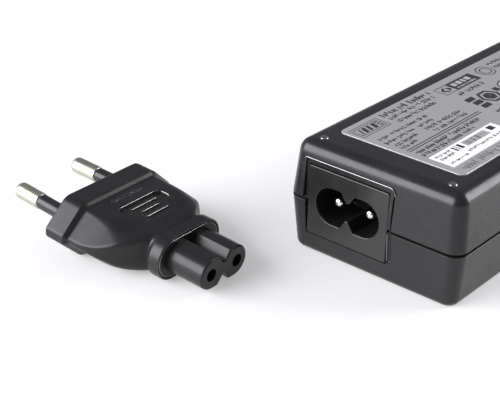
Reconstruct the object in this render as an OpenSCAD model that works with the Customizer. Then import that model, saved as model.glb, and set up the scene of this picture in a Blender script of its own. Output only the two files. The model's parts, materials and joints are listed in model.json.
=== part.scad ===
// Laptop power adapter: a welded two-shell brick with its mains inlet, and a loose wall-plug piece.
// Origin at the centre of the brick's underside, +X along its length away from the inlet, +Z up.

/* [Brick] */
// Length of the brick at the parting line
brick_l = 107; // [100:1:120]
// Width of the brick at the parting line
brick_w = 46; // [44:1:56]
// Height of the brick
brick_h = 27.4; // [26.8:0.2:30]
// Height of the parting line above the underside
part_z = 13.6; // [13:0.1:14]
// Wall thickness of the two shells
wall = 2.2; // [1.8:0.1:2.6]
// Plan radius of the vertical corners
corner_r = 3.4; // [2.8:0.1:5]
// Draft of the walls from the parting line to the underside
draft_low = 1.05; // [0.6:0.05:1.2]
// Draft of the walls from the parting line to the top
draft_top = 0.9; // [0.6:0.05:1.2]
// Radius of the edge round the top face
fillet_top = 3.3; // [1.5:0.05:3.5]
// Radius of the edge round the underside
fillet_low = 1.85; // [1.2:0.05:2.2]

/* [Inlet] */
// Width of the inlet's face
inlet_w = 21.8; // [21:0.1:22.4]
// Height of the inlet's face
inlet_h = 17; // [16:0.1:17.2]
// Sideways position of the inlet on the end face
inlet_y = 6.6; // [4:0.1:7]
// Distance between the two pins, the standard figure-eight pitch
pin_pitch = 8.6; // [8.5:0.05:8.7]
// Radius of the inlet's pins
inlet_pin_r = 1.2; // [1.15:0.05:1.2]

/* [Wall plug piece] */
// Width of the flange
flange_w = 35.3; // [35:0.1:37]
// Height of the flange
flange_h = 13.7; // [13:0.1:14]
// Depth of the flange along the plug
flange_d = 6.5; // [6:0.1:7]
// Pitch of the wall pins
wall_pin_pitch = 19; // [18.6:0.1:19.2]
// Radius of the bare part of a wall pin
wall_pin_r = 2; // [1.95:0.05:2.05]
// Length of a wall pin outside the flange
wall_pin_l = 18; // [17.5:0.1:19.5]
// Angle at which the springy wall pins lean toward each other
pin_lean = 1.7; // [0:0.1:2]
// Length from the flange's pin side to the end of the connector nose
plug_l = 37.8; // [37:0.1:39]
// Width of the connector nose
nose_w = 15.2; // [14.8:0.1:15.6]
// Height of the connector nose
nose_h = 7.6; // [7.4:0.1:7.8]
// Radius of the two holes in the connector nose
nose_hole_r = 1.5; // [1.4:0.05:1.6]
// Where the loose plug piece lies
plug_x = -78.1; // [-90:0.1:-76]
plug_y = 58.8; // [56:0.1:70]
// How far the loose plug piece is turned
plug_turn = -88.4; // [-95:0.1:-85]

/* [Hidden] */
$fn = 64;
eps = 0.01;

// Shells
round_fn = 32;
seam = 0.15;
tongue_h = 1.5;
tongue_t = 1;
tongue_gap = 0.1;
inner_r = 1.4;
label_l = brick_l - 19.2;
label_w = 33;
label_r = 1.6;
label_t = 0.3;
label_inset = 0.2;
label_gap = 0.25;
sticker_l = 25.3;
sticker_w = 6.5;
sticker_t = 0.1;
sticker_x = -brick_l / 2 + 11.9;
sticker_y = -12.8;
pip_r = 1.1;
pip_rise = 0.5;
pip_x = brick_l / 2 - 4.9;
pip_y = brick_w / 2 - 6.1;

// Inlet, measured from the end of the brick at the parting line
end_x = -brick_l / 2;
inlet_z = part_z + 0.15;
inlet_face = 0.6;
inlet_depth = 15.5;
frame_near = 1.4;
frame_far = 1;
frame_top = 1.5;
frame_low = 0.25;
frame_ledge = 1.05;
frame_r = 1.6;
frame_close = 0.35;
groove_t = 0.24;
groove_depth = 1.75;
slot_r = 0.55;
slot_depth = 0.7;
fit_gap = 0.2;
wall_end = wall + 0.85;
flange_grow = 1.4;
flange_t = 1.6;
recess_w = 17.3;
recess_h = 9;
recess_depth = 11.5;
notch_half = 1.85;
notch_depth = 2.3;
notch_tip = 0.35;
pin_setback = 2.2;
pin_root_r = 1;
pin_root_gap = 0.3;
pin_tail = 3.2;
lead_set = 2;

// Board and what stands on it
floor_z = wall;
board_z = 5;
board_t = 1.6;
board_top = board_z + board_t;
board_x0 = -37.2;
board_x1 = brick_l / 2 - 7.5;
board_w = brick_w - 8;
post_r = 1.9;
post_in = 3.2;
ceiling_z = brick_h - wall;
spreader_t = 0.8;
sink_h = 15.4;
sink_t = 1.6;
sink_hole_z = 10.8;
sink_a = [-12, 15.6];
sink_b = [33.5, 6.4];
sink_tab_l = 2;
sink_tabs = [[-10.5, 15.6], [6.5, 15.6], [35.5, 6.4]];
spreader_z = ceiling_z - spreader_t - 0.1;

// Transformer
tr_x = 22;
tr_y = 3.6;
tr_l = 19;
tr_d = 9;
tr_h = 15;
tr_leg = 3.4;
tr_post = 5.4;
bobbin_d = 15.4;
tr_z = board_top + 8.6;
tr_top = tr_z + tr_h / 2;

// Common-mode choke
choke_x = -18;
choke_y = -9.6;
choke_z = board_top + 8.2;
choke_ring = 5.4;
choke_half = 1.7;

// Gland in the far end
gland_r = 4.6;
gland_bore_r = 2.3;
gland_lip_r = 5.4;
gland_lip_t = 1.4;
gland_l = 7;

// Plug piece, along its own axis
collar_back = 24.4;
collar_front = 27.5;
collar_half = 10.4;
collar_r = 5.3;
body_half = 16.8;
body_top = 6;
body_arc_r = 15.8;
body_arc_u = 8.8;
neck_half = 8.3;
crown_r = 70;
crown_u = 13;
side_flat = 1;
top_flat = 11.5;
slope_l = 1;
slope_slice = 0.02;
reach = 20;
rim_in = 0.46;
rim_groove = 0.2;
rim_depth = 0.5;
grip_depth = 0.6;
grip_corners = [[13.4, 4.8, 2], [14.6, 4, 3], [17.8, 2.1, 2.6]];
grip_ribs = [[13.2, 4.15], [15.35, 2.8], [17.5, 3.45]];
rib_half = 0.4;
rib_low = 0.14;
sleeve_l = 10;
sleeve_r = 1.83;
stem_r = 1.6;
carrier_l = 9;
carrier_w = 25;
carrier_h = 6;
carrier_u = 1.6;
channel_half = 6.4;
channel_h = 5;
nose_root = 22.5;
contact_r = 1.9;
contact_bore = 1.22;
contact_l = 9;
contact_set = 3;
link_t = 0.8;
link_w = 3;
link_gap = 0.05;
bus_u = carrier_u + carrier_l + 0.3;
plug_pitch = atan((flange_h / 2 - collar_r) / (collar_front - flange_d));
plug_z = sin(plug_pitch) * flange_d + cos(plug_pitch) * flange_h / 2;

// ---- helpers ----

module four_corners(half_x, half_y) {
  for (sx = [-1, 1], sy = [-1, 1]) translate([sx * half_x, sy * half_y, 0]) children();
}

// Half of the drafted case, from the parting line to a rounded far face.
module case_half(far_z, draft, edge_r, shrink) {
  half_l = brick_l / 2 - shrink;
  half_w = brick_w / 2 - shrink;
  r_part = max(corner_r - shrink, inner_r);
  r_edge = max(edge_r - shrink, 0.9);
  reach = r_edge * cos(180 / round_fn);
  side = far_z > part_z ? 1 : -1;
  hull($fn = round_fn) {
    translate([0, 0, part_z - eps / 2])
      four_corners(half_l - r_part, half_w - r_part)
        cylinder(r = r_part, h = eps, $fn = round_fn);
    translate([0, 0, far_z - side * reach])
      four_corners(half_l - draft - reach, half_w - draft - reach)
        sphere(r = r_edge, $fn = round_fn);
  }
}

// Plate with rounded plan corners, lying on z = 0.
module rounded_plate(l, w, t, r) {
  linear_extrude(t) rounded_outline(l, w, r);
}

module rounded_outline(l, w, r) {
  square([l - 2 * r, w], center = true);
  square([l, w - 2 * r], center = true);
  for (sx = [-1, 1], sy = [-1, 1])
    translate([sx * (l / 2 - r), sy * (w / 2 - r)]) circle(r);
}

// Ring that runs round the case a set distance in from its outer face.
module rim_ring(out, t, z0, h) {
  translate([0, 0, z0]) linear_extrude(h) difference() {
    rounded_outline(brick_l - 2 * out, brick_w - 2 * out, corner_r - out / 2);
    rounded_outline(brick_l - 2 * (out + t), brick_w - 2 * (out + t), inner_r);
  }
}

// Block seen from the end: local x = across (Y), local y = up (Z), pushed in along +X.
module from_end(x0, depth) {
  translate([x0, 0, 0]) rotate([90, 0, 90]) linear_extrude(depth) children();
}

module figure_eight(w, h, half, deep, tip) {
  difference() {
    union() {
      square([w - h, h], center = true);
      for (s = [-1, 1]) translate([s * (w - h) / 2, 0]) circle(h / 2);
    }
    for (s = [-1, 1]) polygon([
      [-half, s * (h / 2 + eps)], [half, s * (h / 2 + eps)],
      [tip, s * (h / 2 - deep)], [-tip, s * (h / 2 - deep)]
    ]);
  }
}

module place_plug() {
  translate([plug_x, plug_y, plug_z]) rotate([0, plug_pitch, plug_turn]) children();
}

// Moves a shape from the z axis of drawing onto the plug's own axis.
module along_plug(u0) {
  translate([u0, 0, 0]) rotate([90, 0, 90]) children();
}

// ---- brick shells ----

// Outline of the opening round the inlet, drawn in from its border.
module frame_outline(in) {
  low = -inlet_h / 2 - frame_low + in;
  high = inlet_h / 2 + frame_top - in;
  left = -inlet_w / 2 - frame_near + in;
  right = inlet_w / 2 + frame_far - in;
  translate([inlet_y + (left + right) / 2, inlet_z + (low + high) / 2])
    rounded_outline(right - left, high - low, frame_r - in);
}

// Straight-sided hole that the inlet's body passes through.
module inlet_hole() {
  from_end(end_x, wall_end + 1)
    translate([inlet_y, inlet_z])
      square([inlet_w + 2 * fit_gap, inlet_h + 2 * fit_gap], center = true);
}

// Ledge round the inlet in the upper shell, with a narrow groove along its border.
module upper_frame() {
  from_end(end_x - 1, 1 + frame_ledge) frame_outline(0);
  from_end(end_x - 1, 1 + groove_depth) difference() {
    frame_outline(0);
    frame_outline(groove_t);
  }
  inlet_hole();
}

// Close pocket in the lower shell with an upright finger slot beside the inlet.
module lower_frame() {
  foot = inlet_z - inlet_h / 2;
  slot_y = inlet_y - inlet_w / 2 - slot_r;
  from_end(end_x - 1, 1 + frame_ledge)
    translate([inlet_y, inlet_z])
      square([inlet_w + 2 * frame_close, inlet_h + 2 * frame_low], center = true);
  translate([end_x, slot_y, foot + slot_r]) {
    cylinder(r = slot_r, h = inlet_h);
    sphere(slot_r);
    rotate([0, 90, 0]) cylinder(r = slot_r, h = slot_depth);
    translate([0, -slot_r, 0]) cube([slot_depth, 2 * slot_r, inlet_h]);
  }
  inlet_hole();
}

module inlet_clamp(z0, z1) {
  clamp_x = end_x + wall_end + flange_t + 2 * fit_gap;
  half = inlet_w / 2;
  for (s = [-1, 1])
    translate([clamp_x, inlet_y + s * (half + 0.35) - (s < 0 ? 1.2 : 0), z0])
      cube([1.6, 1.2, z1 - z0]);
}

module gland_seat() {
  translate([brick_l / 2 - wall - 3, 0, part_z]) rotate([0, 90, 0]) cylinder(r = gland_r + 0.1, h = wall + 6);
}

module case_lower() {
  color("#2b2b2d") {
    difference() {
      union() {
        difference() {
          case_half(0, draft_low, fillet_low, 0);
          case_half(wall, draft_low, fillet_low, wall);
          translate([-brick_l, -brick_w, part_z - seam]) cube([2 * brick_l, 2 * brick_w, 1]);
        }
        rim_ring(wall - tongue_t, tongue_t, part_z - seam - 0.4, tongue_h + 0.4);
      }
      lower_frame();
      gland_seat();
    }
    board_posts();
    inlet_clamp(floor_z - 0.2, part_z - seam - 0.1);
  }
}

module board_posts() {
  translate([(board_x0 + board_x1) / 2, 0, floor_z - 0.2])
    four_corners((board_x1 - board_x0) / 2 - post_in, board_w / 2 - post_in)
      cylinder(r = post_r, h = board_z - floor_z + 0.2);
}

module case_upper() {
  color("#2b2b2d") {
    difference() {
      union() {
        case_half(brick_h, draft_top, fillet_top, 0);
        translate([0, 0, brick_h - pip_r + pip_rise])
          four_corners(pip_x, pip_y) sphere(pip_r);
      }
      case_half(brick_h - wall, draft_top, fillet_top, wall);
      translate([-brick_l, -brick_w, part_z + seam - 1]) cube([2 * brick_l, 2 * brick_w, 1]);
      rim_ring(wall - tongue_t - tongue_gap, tongue_t + tongue_gap + 1, part_z - seam, tongue_h + 0.1);
      translate([0, 0, brick_h - label_inset])
        rounded_plate(label_l + 2 * label_gap, label_w + 2 * label_gap, 1, label_r + label_gap);
      upper_frame();
      gland_seat();
    }
    inlet_clamp(part_z + seam + 0.1, ceiling_z + 0.3);
  }
}

module rating_label() {
  color("#9a9b9e") translate([0, 0, brick_h - label_inset])
    rounded_plate(label_l, label_w, label_t, label_r);
}

module serial_sticker() {
  color("white") translate([sticker_x, sticker_y, brick_h - label_inset + label_t])
    cube([sticker_l, sticker_w, sticker_t]);
}

// ---- inlet ----

module inlet_housing() {
  face_x = end_x + inlet_face;
  back = inlet_depth - recess_depth;
  color("#303032") difference() {
    union() {
      from_end(face_x, inlet_depth)
        translate([inlet_y, inlet_z]) rounded_outline(inlet_w, inlet_h, 0.4);
      from_end(end_x + wall_end + fit_gap, flange_t)
        translate([inlet_y, inlet_z])
          square([inlet_w + 2 * flange_grow, inlet_h + 2 * flange_grow], center = true);
    }
    from_end(face_x - 1, recess_depth + 1)
      translate([inlet_y, inlet_z])
        figure_eight(recess_w, recess_h, notch_half, notch_depth, notch_tip);
    for (s = [-1, 1])
      translate([face_x + recess_depth - 1, inlet_y + s * pin_pitch / 2, inlet_z])
        rotate([0, 90, 0]) cylinder(r = pin_root_r + 0.03, h = back + 2);
  }
}

module inlet_pin(side) {
  tip_x = end_x + inlet_face + pin_setback + inlet_pin_r;
  shoulder_x = end_x + inlet_face + recess_depth - pin_root_gap;
  end_tail = end_x + inlet_face + inlet_depth + pin_tail;
  color("#d8d8d6") translate([tip_x, inlet_y + side * pin_pitch / 2, inlet_z]) {
    sphere(inlet_pin_r);
    rotate([0, 90, 0]) cylinder(r = inlet_pin_r, h = shoulder_x - tip_x);
    rotate([0, 90, 0]) cylinder(r = pin_root_r, h = end_tail - tip_x);
  }
}

module inlet_lead(side, tint) {
  lead_r = 0.8;
  lead_x = end_x + inlet_face + inlet_depth + lead_set;
  lead_y = inlet_y + side * pin_pitch / 2;
  color(tint) {
    translate([lead_x, lead_y, board_z - 0.6])
      cylinder(r = lead_r, h = inlet_z - pin_root_r - board_z + 0.6);
    translate([lead_x, lead_y, inlet_z - pin_root_r - 1]) cylinder(r = lead_r + 0.4, h = 0.95);
  }
}

module cable_gland() {
  color("#1e1e20") translate([brick_l / 2, 0, part_z]) rotate([0, 90, 0]) difference() {
    union() {
      translate([0, 0, -gland_l + 2]) cylinder(r = gland_r, h = gland_l - 1);
      translate([0, 0, -wall - gland_lip_t - 0.7]) cylinder(r = gland_lip_r, h = gland_lip_t);
    }
    translate([0, 0, -gland_l]) cylinder(r = gland_bore_r, h = 2 * gland_l);
  }
}

// ---- board, sheets and spreader ----

module board_outline() {
  translate([(board_x0 + board_x1) / 2, 0])
    square([board_x1 - board_x0, board_w], center = true);
}

module circuit_board() {
  color("#2f6b45") translate([0, 0, board_z]) linear_extrude(board_t) difference() {
    board_outline();
    for (s = [-1, 1])
      translate([end_x + inlet_face + inlet_depth + lead_set, inlet_y + s * pin_pitch / 2]) circle(1);
    for (p = sink_tabs) translate([p[0] - 0.1, p[1] - 0.1])
      square([sink_tab_l + 0.2, sink_t + 0.2]);
  }
}

module sheet_under(z0, t, margin) {
  translate([0, 0, z0]) linear_extrude(t) difference() {
    translate([(board_x0 + board_x1) / 2 + 1, 0])
      square([board_x1 - board_x0 - 2, board_w], center = true);
    translate([(board_x0 + board_x1) / 2, 0])
      for (sx = [-1, 1], sy = [-1, 1])
        translate([
          sx * ((board_x1 - board_x0) / 2 - post_in + 2), sy * (board_w / 2 - post_in + 2)
        ]) square(2 * (post_r + margin) + 4, center = true);
  }
}

module insulation_sheet() {
  color("#d9d2b8") sheet_under(3.2, 0.4, 0.3);
}

module emi_shield() {
  color("#c98a55") sheet_under(2.5, 0.3, 0.6);
}

module heat_spreader() {
  color("#b9bcc0") translate([4, 0, spreader_z]) rounded_plate(80, brick_w - 10, spreader_t, 2);
}

module thermal_pads() {
  color("#8fa3b5") {
    translate([tr_x - 10, tr_y - 9, tr_top]) cube([20, 18, spreader_z - tr_top]);
    translate([sink_a[0] + 1, 12, board_top + sink_h])
      cube([20, 5.8, spreader_z - board_top - sink_h]);
  }
}

// ---- components ----

module fuse() {
  color("#3a2f2a") {
    translate([-27.5, 12.5, board_top]) cylinder(r = 4.2, h = 8);
  }
}

module varistor() {
  color("#2c4f9e") translate([-29.6, -2, board_top]) {
    translate([0, 0, 6.2]) rotate([0, 90, 0]) cylinder(r = 5, h = 3.6);
    translate([1.2, -2.6, 0]) cube([1, 1, 3]);
    translate([1.2, 1.6, 0]) cube([1, 1, 3]);
  }
}

module inrush_thermistor() {
  color("#23382c") translate([-29.6, -14, board_top]) {
    translate([0, 0, 5.4]) rotate([0, 90, 0]) cylinder(r = 4.2, h = 4);
    translate([1.4, -2.4, 0]) cube([1, 1, 3]);
    translate([1.4, 1.4, 0]) cube([1, 1, 3]);
  }
}

module x_capacitor() {
  color("#c9a13a") translate([-22, 0.2, board_top]) difference() {
    cube([8, 18, 14]);
    translate([-1, 1, -1]) cube([10, 16, 1.5]);
  }
}

module choke_core() {
  color("#3c6e4c") translate([choke_x, choke_y, choke_z]) rotate([0, 90, 0])
    rotate_extrude() translate([choke_ring, 0]) square(2 * choke_half, center = true);
}

module choke_windings() {
  color("#b8642a") {
    translate([choke_x, choke_y, choke_z]) rotate([0, 90, 0])
      for (a = [20, 200]) rotate([0, 0, a]) rotate_extrude(angle = 140)
        translate([choke_ring, 0]) difference() {
          square(2 * choke_half + 2, center = true);
          square(2 * choke_half + 0.1, center = true);
        }
    for (s = [-1, 1]) translate([choke_x, choke_y + s * 5.6, board_top])
      cylinder(r = 0.5, h = 2.9);
  }
}

module bridge_rectifier() {
  color("#1c1c1e") translate([-12, -17, board_top]) {
    difference() {
      translate([0, 0, 2.4]) cube([3.8, 15, 11]);
      translate([-1, 7.5, 9.5]) rotate([0, 90, 0]) cylinder(r = 1.6, h = 6);
    }
    for (i = [0:3]) translate([1.4, 1.6 + 3.8 * i, 0]) cube([0.8, 1, 2.6]);
  }
}

module bulk_capacitor() {
  can_r = 8;
  can_l = 22;
  groove = 0.6;
  color("#20242c") translate([-7, -10.2, board_top + can_r + 0.1]) rotate([0, 90, 0])
    rotate_extrude() polygon([
      [0, 0], [can_r, 0], [can_r, 2.4], [can_r - groove, 3], [can_r, 3.6],
      [can_r, can_l - 0.5], [can_r - 0.5, can_l], [0, can_l]
    ]);
}

module sink_plate(corner, l) {
  translate([corner[0], corner[1], board_top]) difference() {
    cube([l, sink_t, sink_h]);
    translate([l / 2, -1, sink_hole_z]) rotate([-90, 0, 0]) cylinder(r = 1.6, h = sink_t + 2);
  }
}

module sink_tab(p) {
  translate([p[0], p[1], board_z - 0.6]) cube([sink_tab_l, sink_t, board_t + 0.7]);
}

module primary_heatsink() {
  color("#b4b8bc") {
    sink_plate(sink_a, 22);
    sink_tab(sink_tabs[0]);
    sink_tab(sink_tabs[1]);
  }
}

// Three-legged device that stands against the inner side of a heatsink.
module packaged_device(x, sink_y) {
  body_t = 4.2;
  leg_h = 3;
  translate([x - 5, sink_y - body_t - 0.1, board_top + leg_h]) difference() {
    cube([10, body_t, 12]);
    translate([5, -1, sink_hole_z - leg_h]) rotate([-90, 0, 0]) cylinder(r = 1.6, h = body_t + 2);
  }
  for (i = [-1, 0, 1])
    translate([x + 2.5 * i - 0.4, sink_y - 2.6, board_top]) cube([0.8, 0.6, leg_h + 0.1]);
}

module switching_transistor() {
  color("#19191b") packaged_device(sink_a[0] + 11, sink_a[1]);
}

module heatsink_screws() {
  color("#c4c6c8") {
    for (p = [[sink_a[0] + 11, sink_a[1]], [sink_b[0] + 4, sink_b[1]]])
      translate([p[0], p[1] + sink_t + 0.1, board_top + sink_hole_z])
        rotate([90, 0, 0]) screw_body();
  }
}

module screw_body() {
  translate([0, 0, -0.2]) cylinder(r = 1.5, h = 7.4);
  translate([0, 0, -0.05]) mirror([0, 0, 1]) difference() {
    cylinder(r = 2.8, h = 1.3);
    translate([-0.4, -1.7, 0.7]) cube([0.8, 3.4, 1]);
    translate([-1.7, -0.4, 0.7]) cube([3.4, 0.8, 1]);
  }
}

module at_transformer() {
  translate([tr_x, tr_y, tr_z]) children();
}

module transformer_core() {
  color("#3b3d42") at_transformer() difference() {
    cube([tr_l, tr_d, tr_h], center = true);
    difference() {
      cube([tr_l - 2 * tr_leg, tr_d + 1, tr_h - 2 * tr_leg], center = true);
      cube([tr_post, tr_d + 2, tr_h + 1], center = true);
    }
  }
}

module transformer_bobbin() {
  cheek = 0.8;
  window = tr_l - 2 * tr_leg - 0.2;
  inside = tr_h - 2 * tr_leg - 0.2;
  color("#e3ddcc") at_transformer() {
    difference() {
      union() {
        cube([tr_post + 1.2, tr_d + 1.4, inside], center = true);
        for (s = [-1, 1]) translate([0, 0, s * (inside - cheek) / 2])
          cube([window, bobbin_d, cheek], center = true);
      }
      cube([tr_post + 0.2, tr_d + 0.2, tr_h], center = true);
    }
    for (s = [-1, 1], i = [-1, 0, 1])
      translate([3.6 * i - 0.35, s * (bobbin_d / 2 - 0.6) - 0.35, board_top - tr_z])
        cube([0.7, 0.7, tr_z - board_top - inside / 2 + 0.1]);
  }
}

module transformer_windings() {
  inside = tr_h - 2 * tr_leg - 2;
  color("#d9b13b") at_transformer() difference() {
    cube([tr_l - 2 * tr_leg - 0.6, bobbin_d - 0.6, inside], center = true);
    cube([tr_post + 1.3, tr_d + 1.5, tr_h], center = true);
  }
}

module y_capacitor() {
  color("#2f7fc0") translate([20, -14.6, board_top]) {
    translate([0, 0, 5.4]) rotate([0, 90, 0]) cylinder(r = 4, h = 3);
    translate([1, -2.4, 0]) cube([0.8, 0.8, 3]);
    translate([1, 1.6, 0]) cube([0.8, 0.8, 3]);
  }
}

module optocoupler() {
  color("#eceae4") translate([25.5, -15.5, board_top]) {
    translate([0, 0, 0.5]) cube([6.6, 4.6, 3.4]);
    for (x = [1, 4.8], y = [-0.6, 4.5]) translate([x, y, 0]) cube([0.8, 0.7, 2]);
  }
}

module control_chip() {
  color("#161618") translate([-1, 3.6, board_top]) {
    translate([0, 0, 0.15]) cube([5, 4, 1.5]);
    for (i = [0:3], y = [-0.9, 3.9]) translate([0.45 + 1.2 * i, y, 0]) cube([0.45, 1, 0.5]);
  }
}

module secondary_heatsink() {
  color("#b4b8bc") {
    sink_plate(sink_b, 8);
    sink_tab(sink_tabs[2]);
  }
}

module output_rectifier() {
  color("#19191b") packaged_device(sink_b[0] + 4, sink_b[1]);
}

module output_capacitors() {
  can_r = 4.1;
  color("#263a6b") for (p = [[37.2, -14.2], [37.2, -5.2], [40.6, 14]])
    translate([p[0], p[1], board_top]) rotate_extrude() polygon([
      [0, 0], [can_r, 0], [can_r, 1.2], [can_r - 0.4, 1.6], [can_r, 2],
      [can_r, 15.2], [can_r - 0.4, 15.6], [0, 15.6]
    ]);
}

module output_choke() {
  color("#4a4c50") translate([31, 14.4, board_top]) rotate_extrude() polygon([
    [0, 0], [3.6, 0], [3.6, 1.2], [2.6, 1.4], [2.6, 7.6], [3.6, 7.8], [3.6, 9], [0, 9]
  ]);
}

// ---- wall plug piece ----

module hex_section(half, high, flat_top, flat_side) {
  polygon([
    [-half, -flat_side], [-flat_top, -high], [flat_top, -high],
    [half, -flat_side], [half, flat_side], [flat_top, high], [-flat_top, high], [-half, flat_side]
  ]);
}

// Sunk finger grip on the plug's face, with three raised ribs across it.
module grip_recess() {
  translate([0, 0, body_top - grip_depth]) linear_extrude(2) hull()
    for (c = grip_corners, s = [-1, 1]) translate([c[0], s * c[1]]) circle(c[2]);
}

module grip_ribs() {
  rib_h = grip_depth - rib_low;
  for (side = [0, 1]) mirror([0, 0, side])
    for (r = grip_ribs) translate([r[0], 0, body_top - grip_depth - eps])
      linear_extrude(rib_h + eps) rounded_outline(2 * rib_half, 2 * r[1], rib_half - eps);
}

// Tapered slice of the plug: from the flange's outline down to the body's.
module flange_slope() {
  hull() {
    along_plug(flange_d - slope_l) linear_extrude(slope_slice)
      hex_section(flange_w / 2, flange_h / 2, top_flat, side_flat);
    along_plug(flange_d - slope_slice) linear_extrude(slope_slice) body_hexagon();
  }
}

module body_hexagon() {
  hex_section(body_half, body_top, top_flat - 0.6, side_flat - 0.4);
}

// Plan of the body's round shoulders and its narrow neck.
module shoulder_plan() {
  offset_v = body_half - body_arc_r;
  translate([0, -body_half]) square([body_arc_u, 2 * body_half]);
  translate([0, -neck_half]) square([collar_back + 1, 2 * neck_half]);
  translate([body_arc_u, -offset_v]) square([body_arc_r, 2 * offset_v]);
  for (s = [-1, 1]) translate([body_arc_u, s * offset_v]) circle(body_arc_r);
}

// Large cylinder across the plug whose surface draws the body's face down to the neck.
module crown_cylinder(side) {
  translate([crown_u, reach, side * (body_top - crown_r)])
    rotate([90, 0, 0]) cylinder(r = crown_r, h = 2 * reach, $fn = 96);
}

module plug_shoulders() {
  intersection() {
    along_plug(0) linear_extrude(collar_back + 1) body_hexagon();
    translate([0, 0, -reach / 2]) linear_extrude(reach) shoulder_plan();
    union() {
      translate([0, -reach, -body_top]) cube([crown_u, 2 * reach, 2 * body_top]);
      intersection() {
        crown_cylinder(1);
        crown_cylinder(-1);
        translate([crown_u - 1, -reach, -reach]) cube([reach, 2 * reach, 2 * reach]);
      }
    }
  }
}

module racetrack(half, r) {
  square([2 * (half - r), 2 * r], center = true);
  for (s = [-1, 1]) translate([s * (half - r), 0]) circle(r);
}

// Puts a shape drawn along z onto one leaning wall pin, with z = 0 at the flange.
module along_pin(side) {
  along_plug(0) translate([side * wall_pin_pitch / 2, 0, 0])
    rotate([0, side * pin_lean, 0]) children();
}

module plug_body() {
  carrier_end = carrier_u + carrier_l;
  color("#262628") place_plug() {
    difference() {
      union() {
        along_plug(0) linear_extrude(flange_d - slope_l)
          hex_section(flange_w / 2, flange_h / 2, top_flat, side_flat);
        flange_slope();
        plug_shoulders();
        along_plug(collar_back) linear_extrude(collar_front - collar_back)
          racetrack(collar_half, collar_r);
      }
      grip_recess();
      mirror([0, 0, 1]) grip_recess();
      along_plug(collar_front - rim_depth) linear_extrude(1) difference() {
        racetrack(collar_half - rim_in, collar_r - rim_in);
        racetrack(collar_half - rim_in - rim_groove, collar_r - rim_in - rim_groove);
      }
      along_plug(nose_root) linear_extrude(10)
        racetrack(nose_w / 2 + 0.05, nose_h / 2 + 0.05);
      for (s = [-1, 1]) along_pin(s)
        translate([0, 0, -1]) cylinder(r = sleeve_r + 0.03, h = 12);
      translate([carrier_u, -carrier_w / 2 - 0.1, -carrier_h / 2 - 0.1])
        cube([carrier_l + 0.2, carrier_w + 0.2, carrier_h + 0.2]);
      translate([carrier_end - 1, -channel_half - 5, -channel_h / 2])
        cube([6, 2 * channel_half + 10, channel_h]);
      translate([carrier_end - 1, -channel_half, -channel_h / 2])
        cube([nose_root - carrier_end + 2, 2 * channel_half, channel_h]);
    }
    grip_ribs();
  }
}

module connector_nose() {
  edge = 0.5;
  color("#2c2c2e") place_plug() difference() {
    union() {
      along_plug(nose_root) linear_extrude(plug_l - nose_root - edge)
        figure_eight(nose_w, nose_h, 1.9, 2.3, 0.3);
      along_plug(plug_l - edge - eps) linear_extrude(edge + eps)
        figure_eight(nose_w - 2 * edge, nose_h - 2 * edge, 1.9, 2.3 - edge, 0.3);
    }
    for (s = [-1, 1]) along_plug(0) translate([s * pin_pitch / 2, 0, 0]) {
      translate([0, 0, plug_l - contact_set - 1]) cylinder(r = nose_hole_r, h = contact_set + 2);
      translate([0, 0, nose_root - 1])
        cylinder(r = contact_r + 0.05, h = plug_l - contact_set - nose_root + 1);
    }
  }
}

module pin_carrier() {
  color("#3a3a3c") place_plug() difference() {
    translate([carrier_u + 0.1, -carrier_w / 2, -carrier_h / 2])
      cube([carrier_l, carrier_w, carrier_h]);
    for (s = [-1, 1]) along_pin(s) cylinder(r = stem_r + 0.03, h = 20);
    translate([carrier_u + carrier_l - 1.5, -carrier_w / 2 - 1, -link_w / 2 - 0.1])
      cube([4, carrier_w + 2, link_w + 0.2]);
  }
}

module plug_pin(side) {
  tip = -wall_pin_l + wall_pin_r;
  root = sleeve_l + 0.5;
  color("#cfcdc6") place_plug() along_pin(side) {
    translate([0, 0, tip]) sphere(wall_pin_r);
    translate([0, 0, tip]) cylinder(r = wall_pin_r, h = -sleeve_l - tip);
    translate([0, 0, -root]) cylinder(r = stem_r, h = root + bus_u - link_gap);
  }
}

module pin_sleeve(side) {
  color("#151516") place_plug() along_pin(side) translate([0, 0, -sleeve_l])
    difference() {
      cylinder(r = sleeve_r, h = sleeve_l + carrier_u);
      translate([0, 0, -1]) cylinder(r = stem_r + 0.02, h = sleeve_l + 4);
    }
}

module socket_contact(side) {
  slot_w = 0.4;
  start = plug_l - contact_set - contact_l - 0.1;
  color("#c9a85a") place_plug() along_plug(start) translate([side * pin_pitch / 2, 0, 0])
    difference() {
      cylinder(r = contact_r, h = contact_l);
      translate([0, 0, 1]) cylinder(r = contact_bore, h = contact_l);
      translate([-slot_w / 2, -3, 3]) cube([slot_w, 6, contact_l]);
    }
}

module contact_link(side) {
  pin_v = side * wall_pin_pitch / 2;
  socket_v = side * pin_pitch / 2;
  start = plug_l - contact_set - contact_l - 0.1;
  color("#b8873f") place_plug() {
    translate([bus_u, min(pin_v, socket_v) - 1.2, -link_w / 2])
      cube([link_t, abs(pin_v - socket_v) + 2.4, link_w]);
    translate([bus_u, socket_v - link_t / 2, -1]) cube([start - bus_u, link_t, 2]);
  }
}

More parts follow.
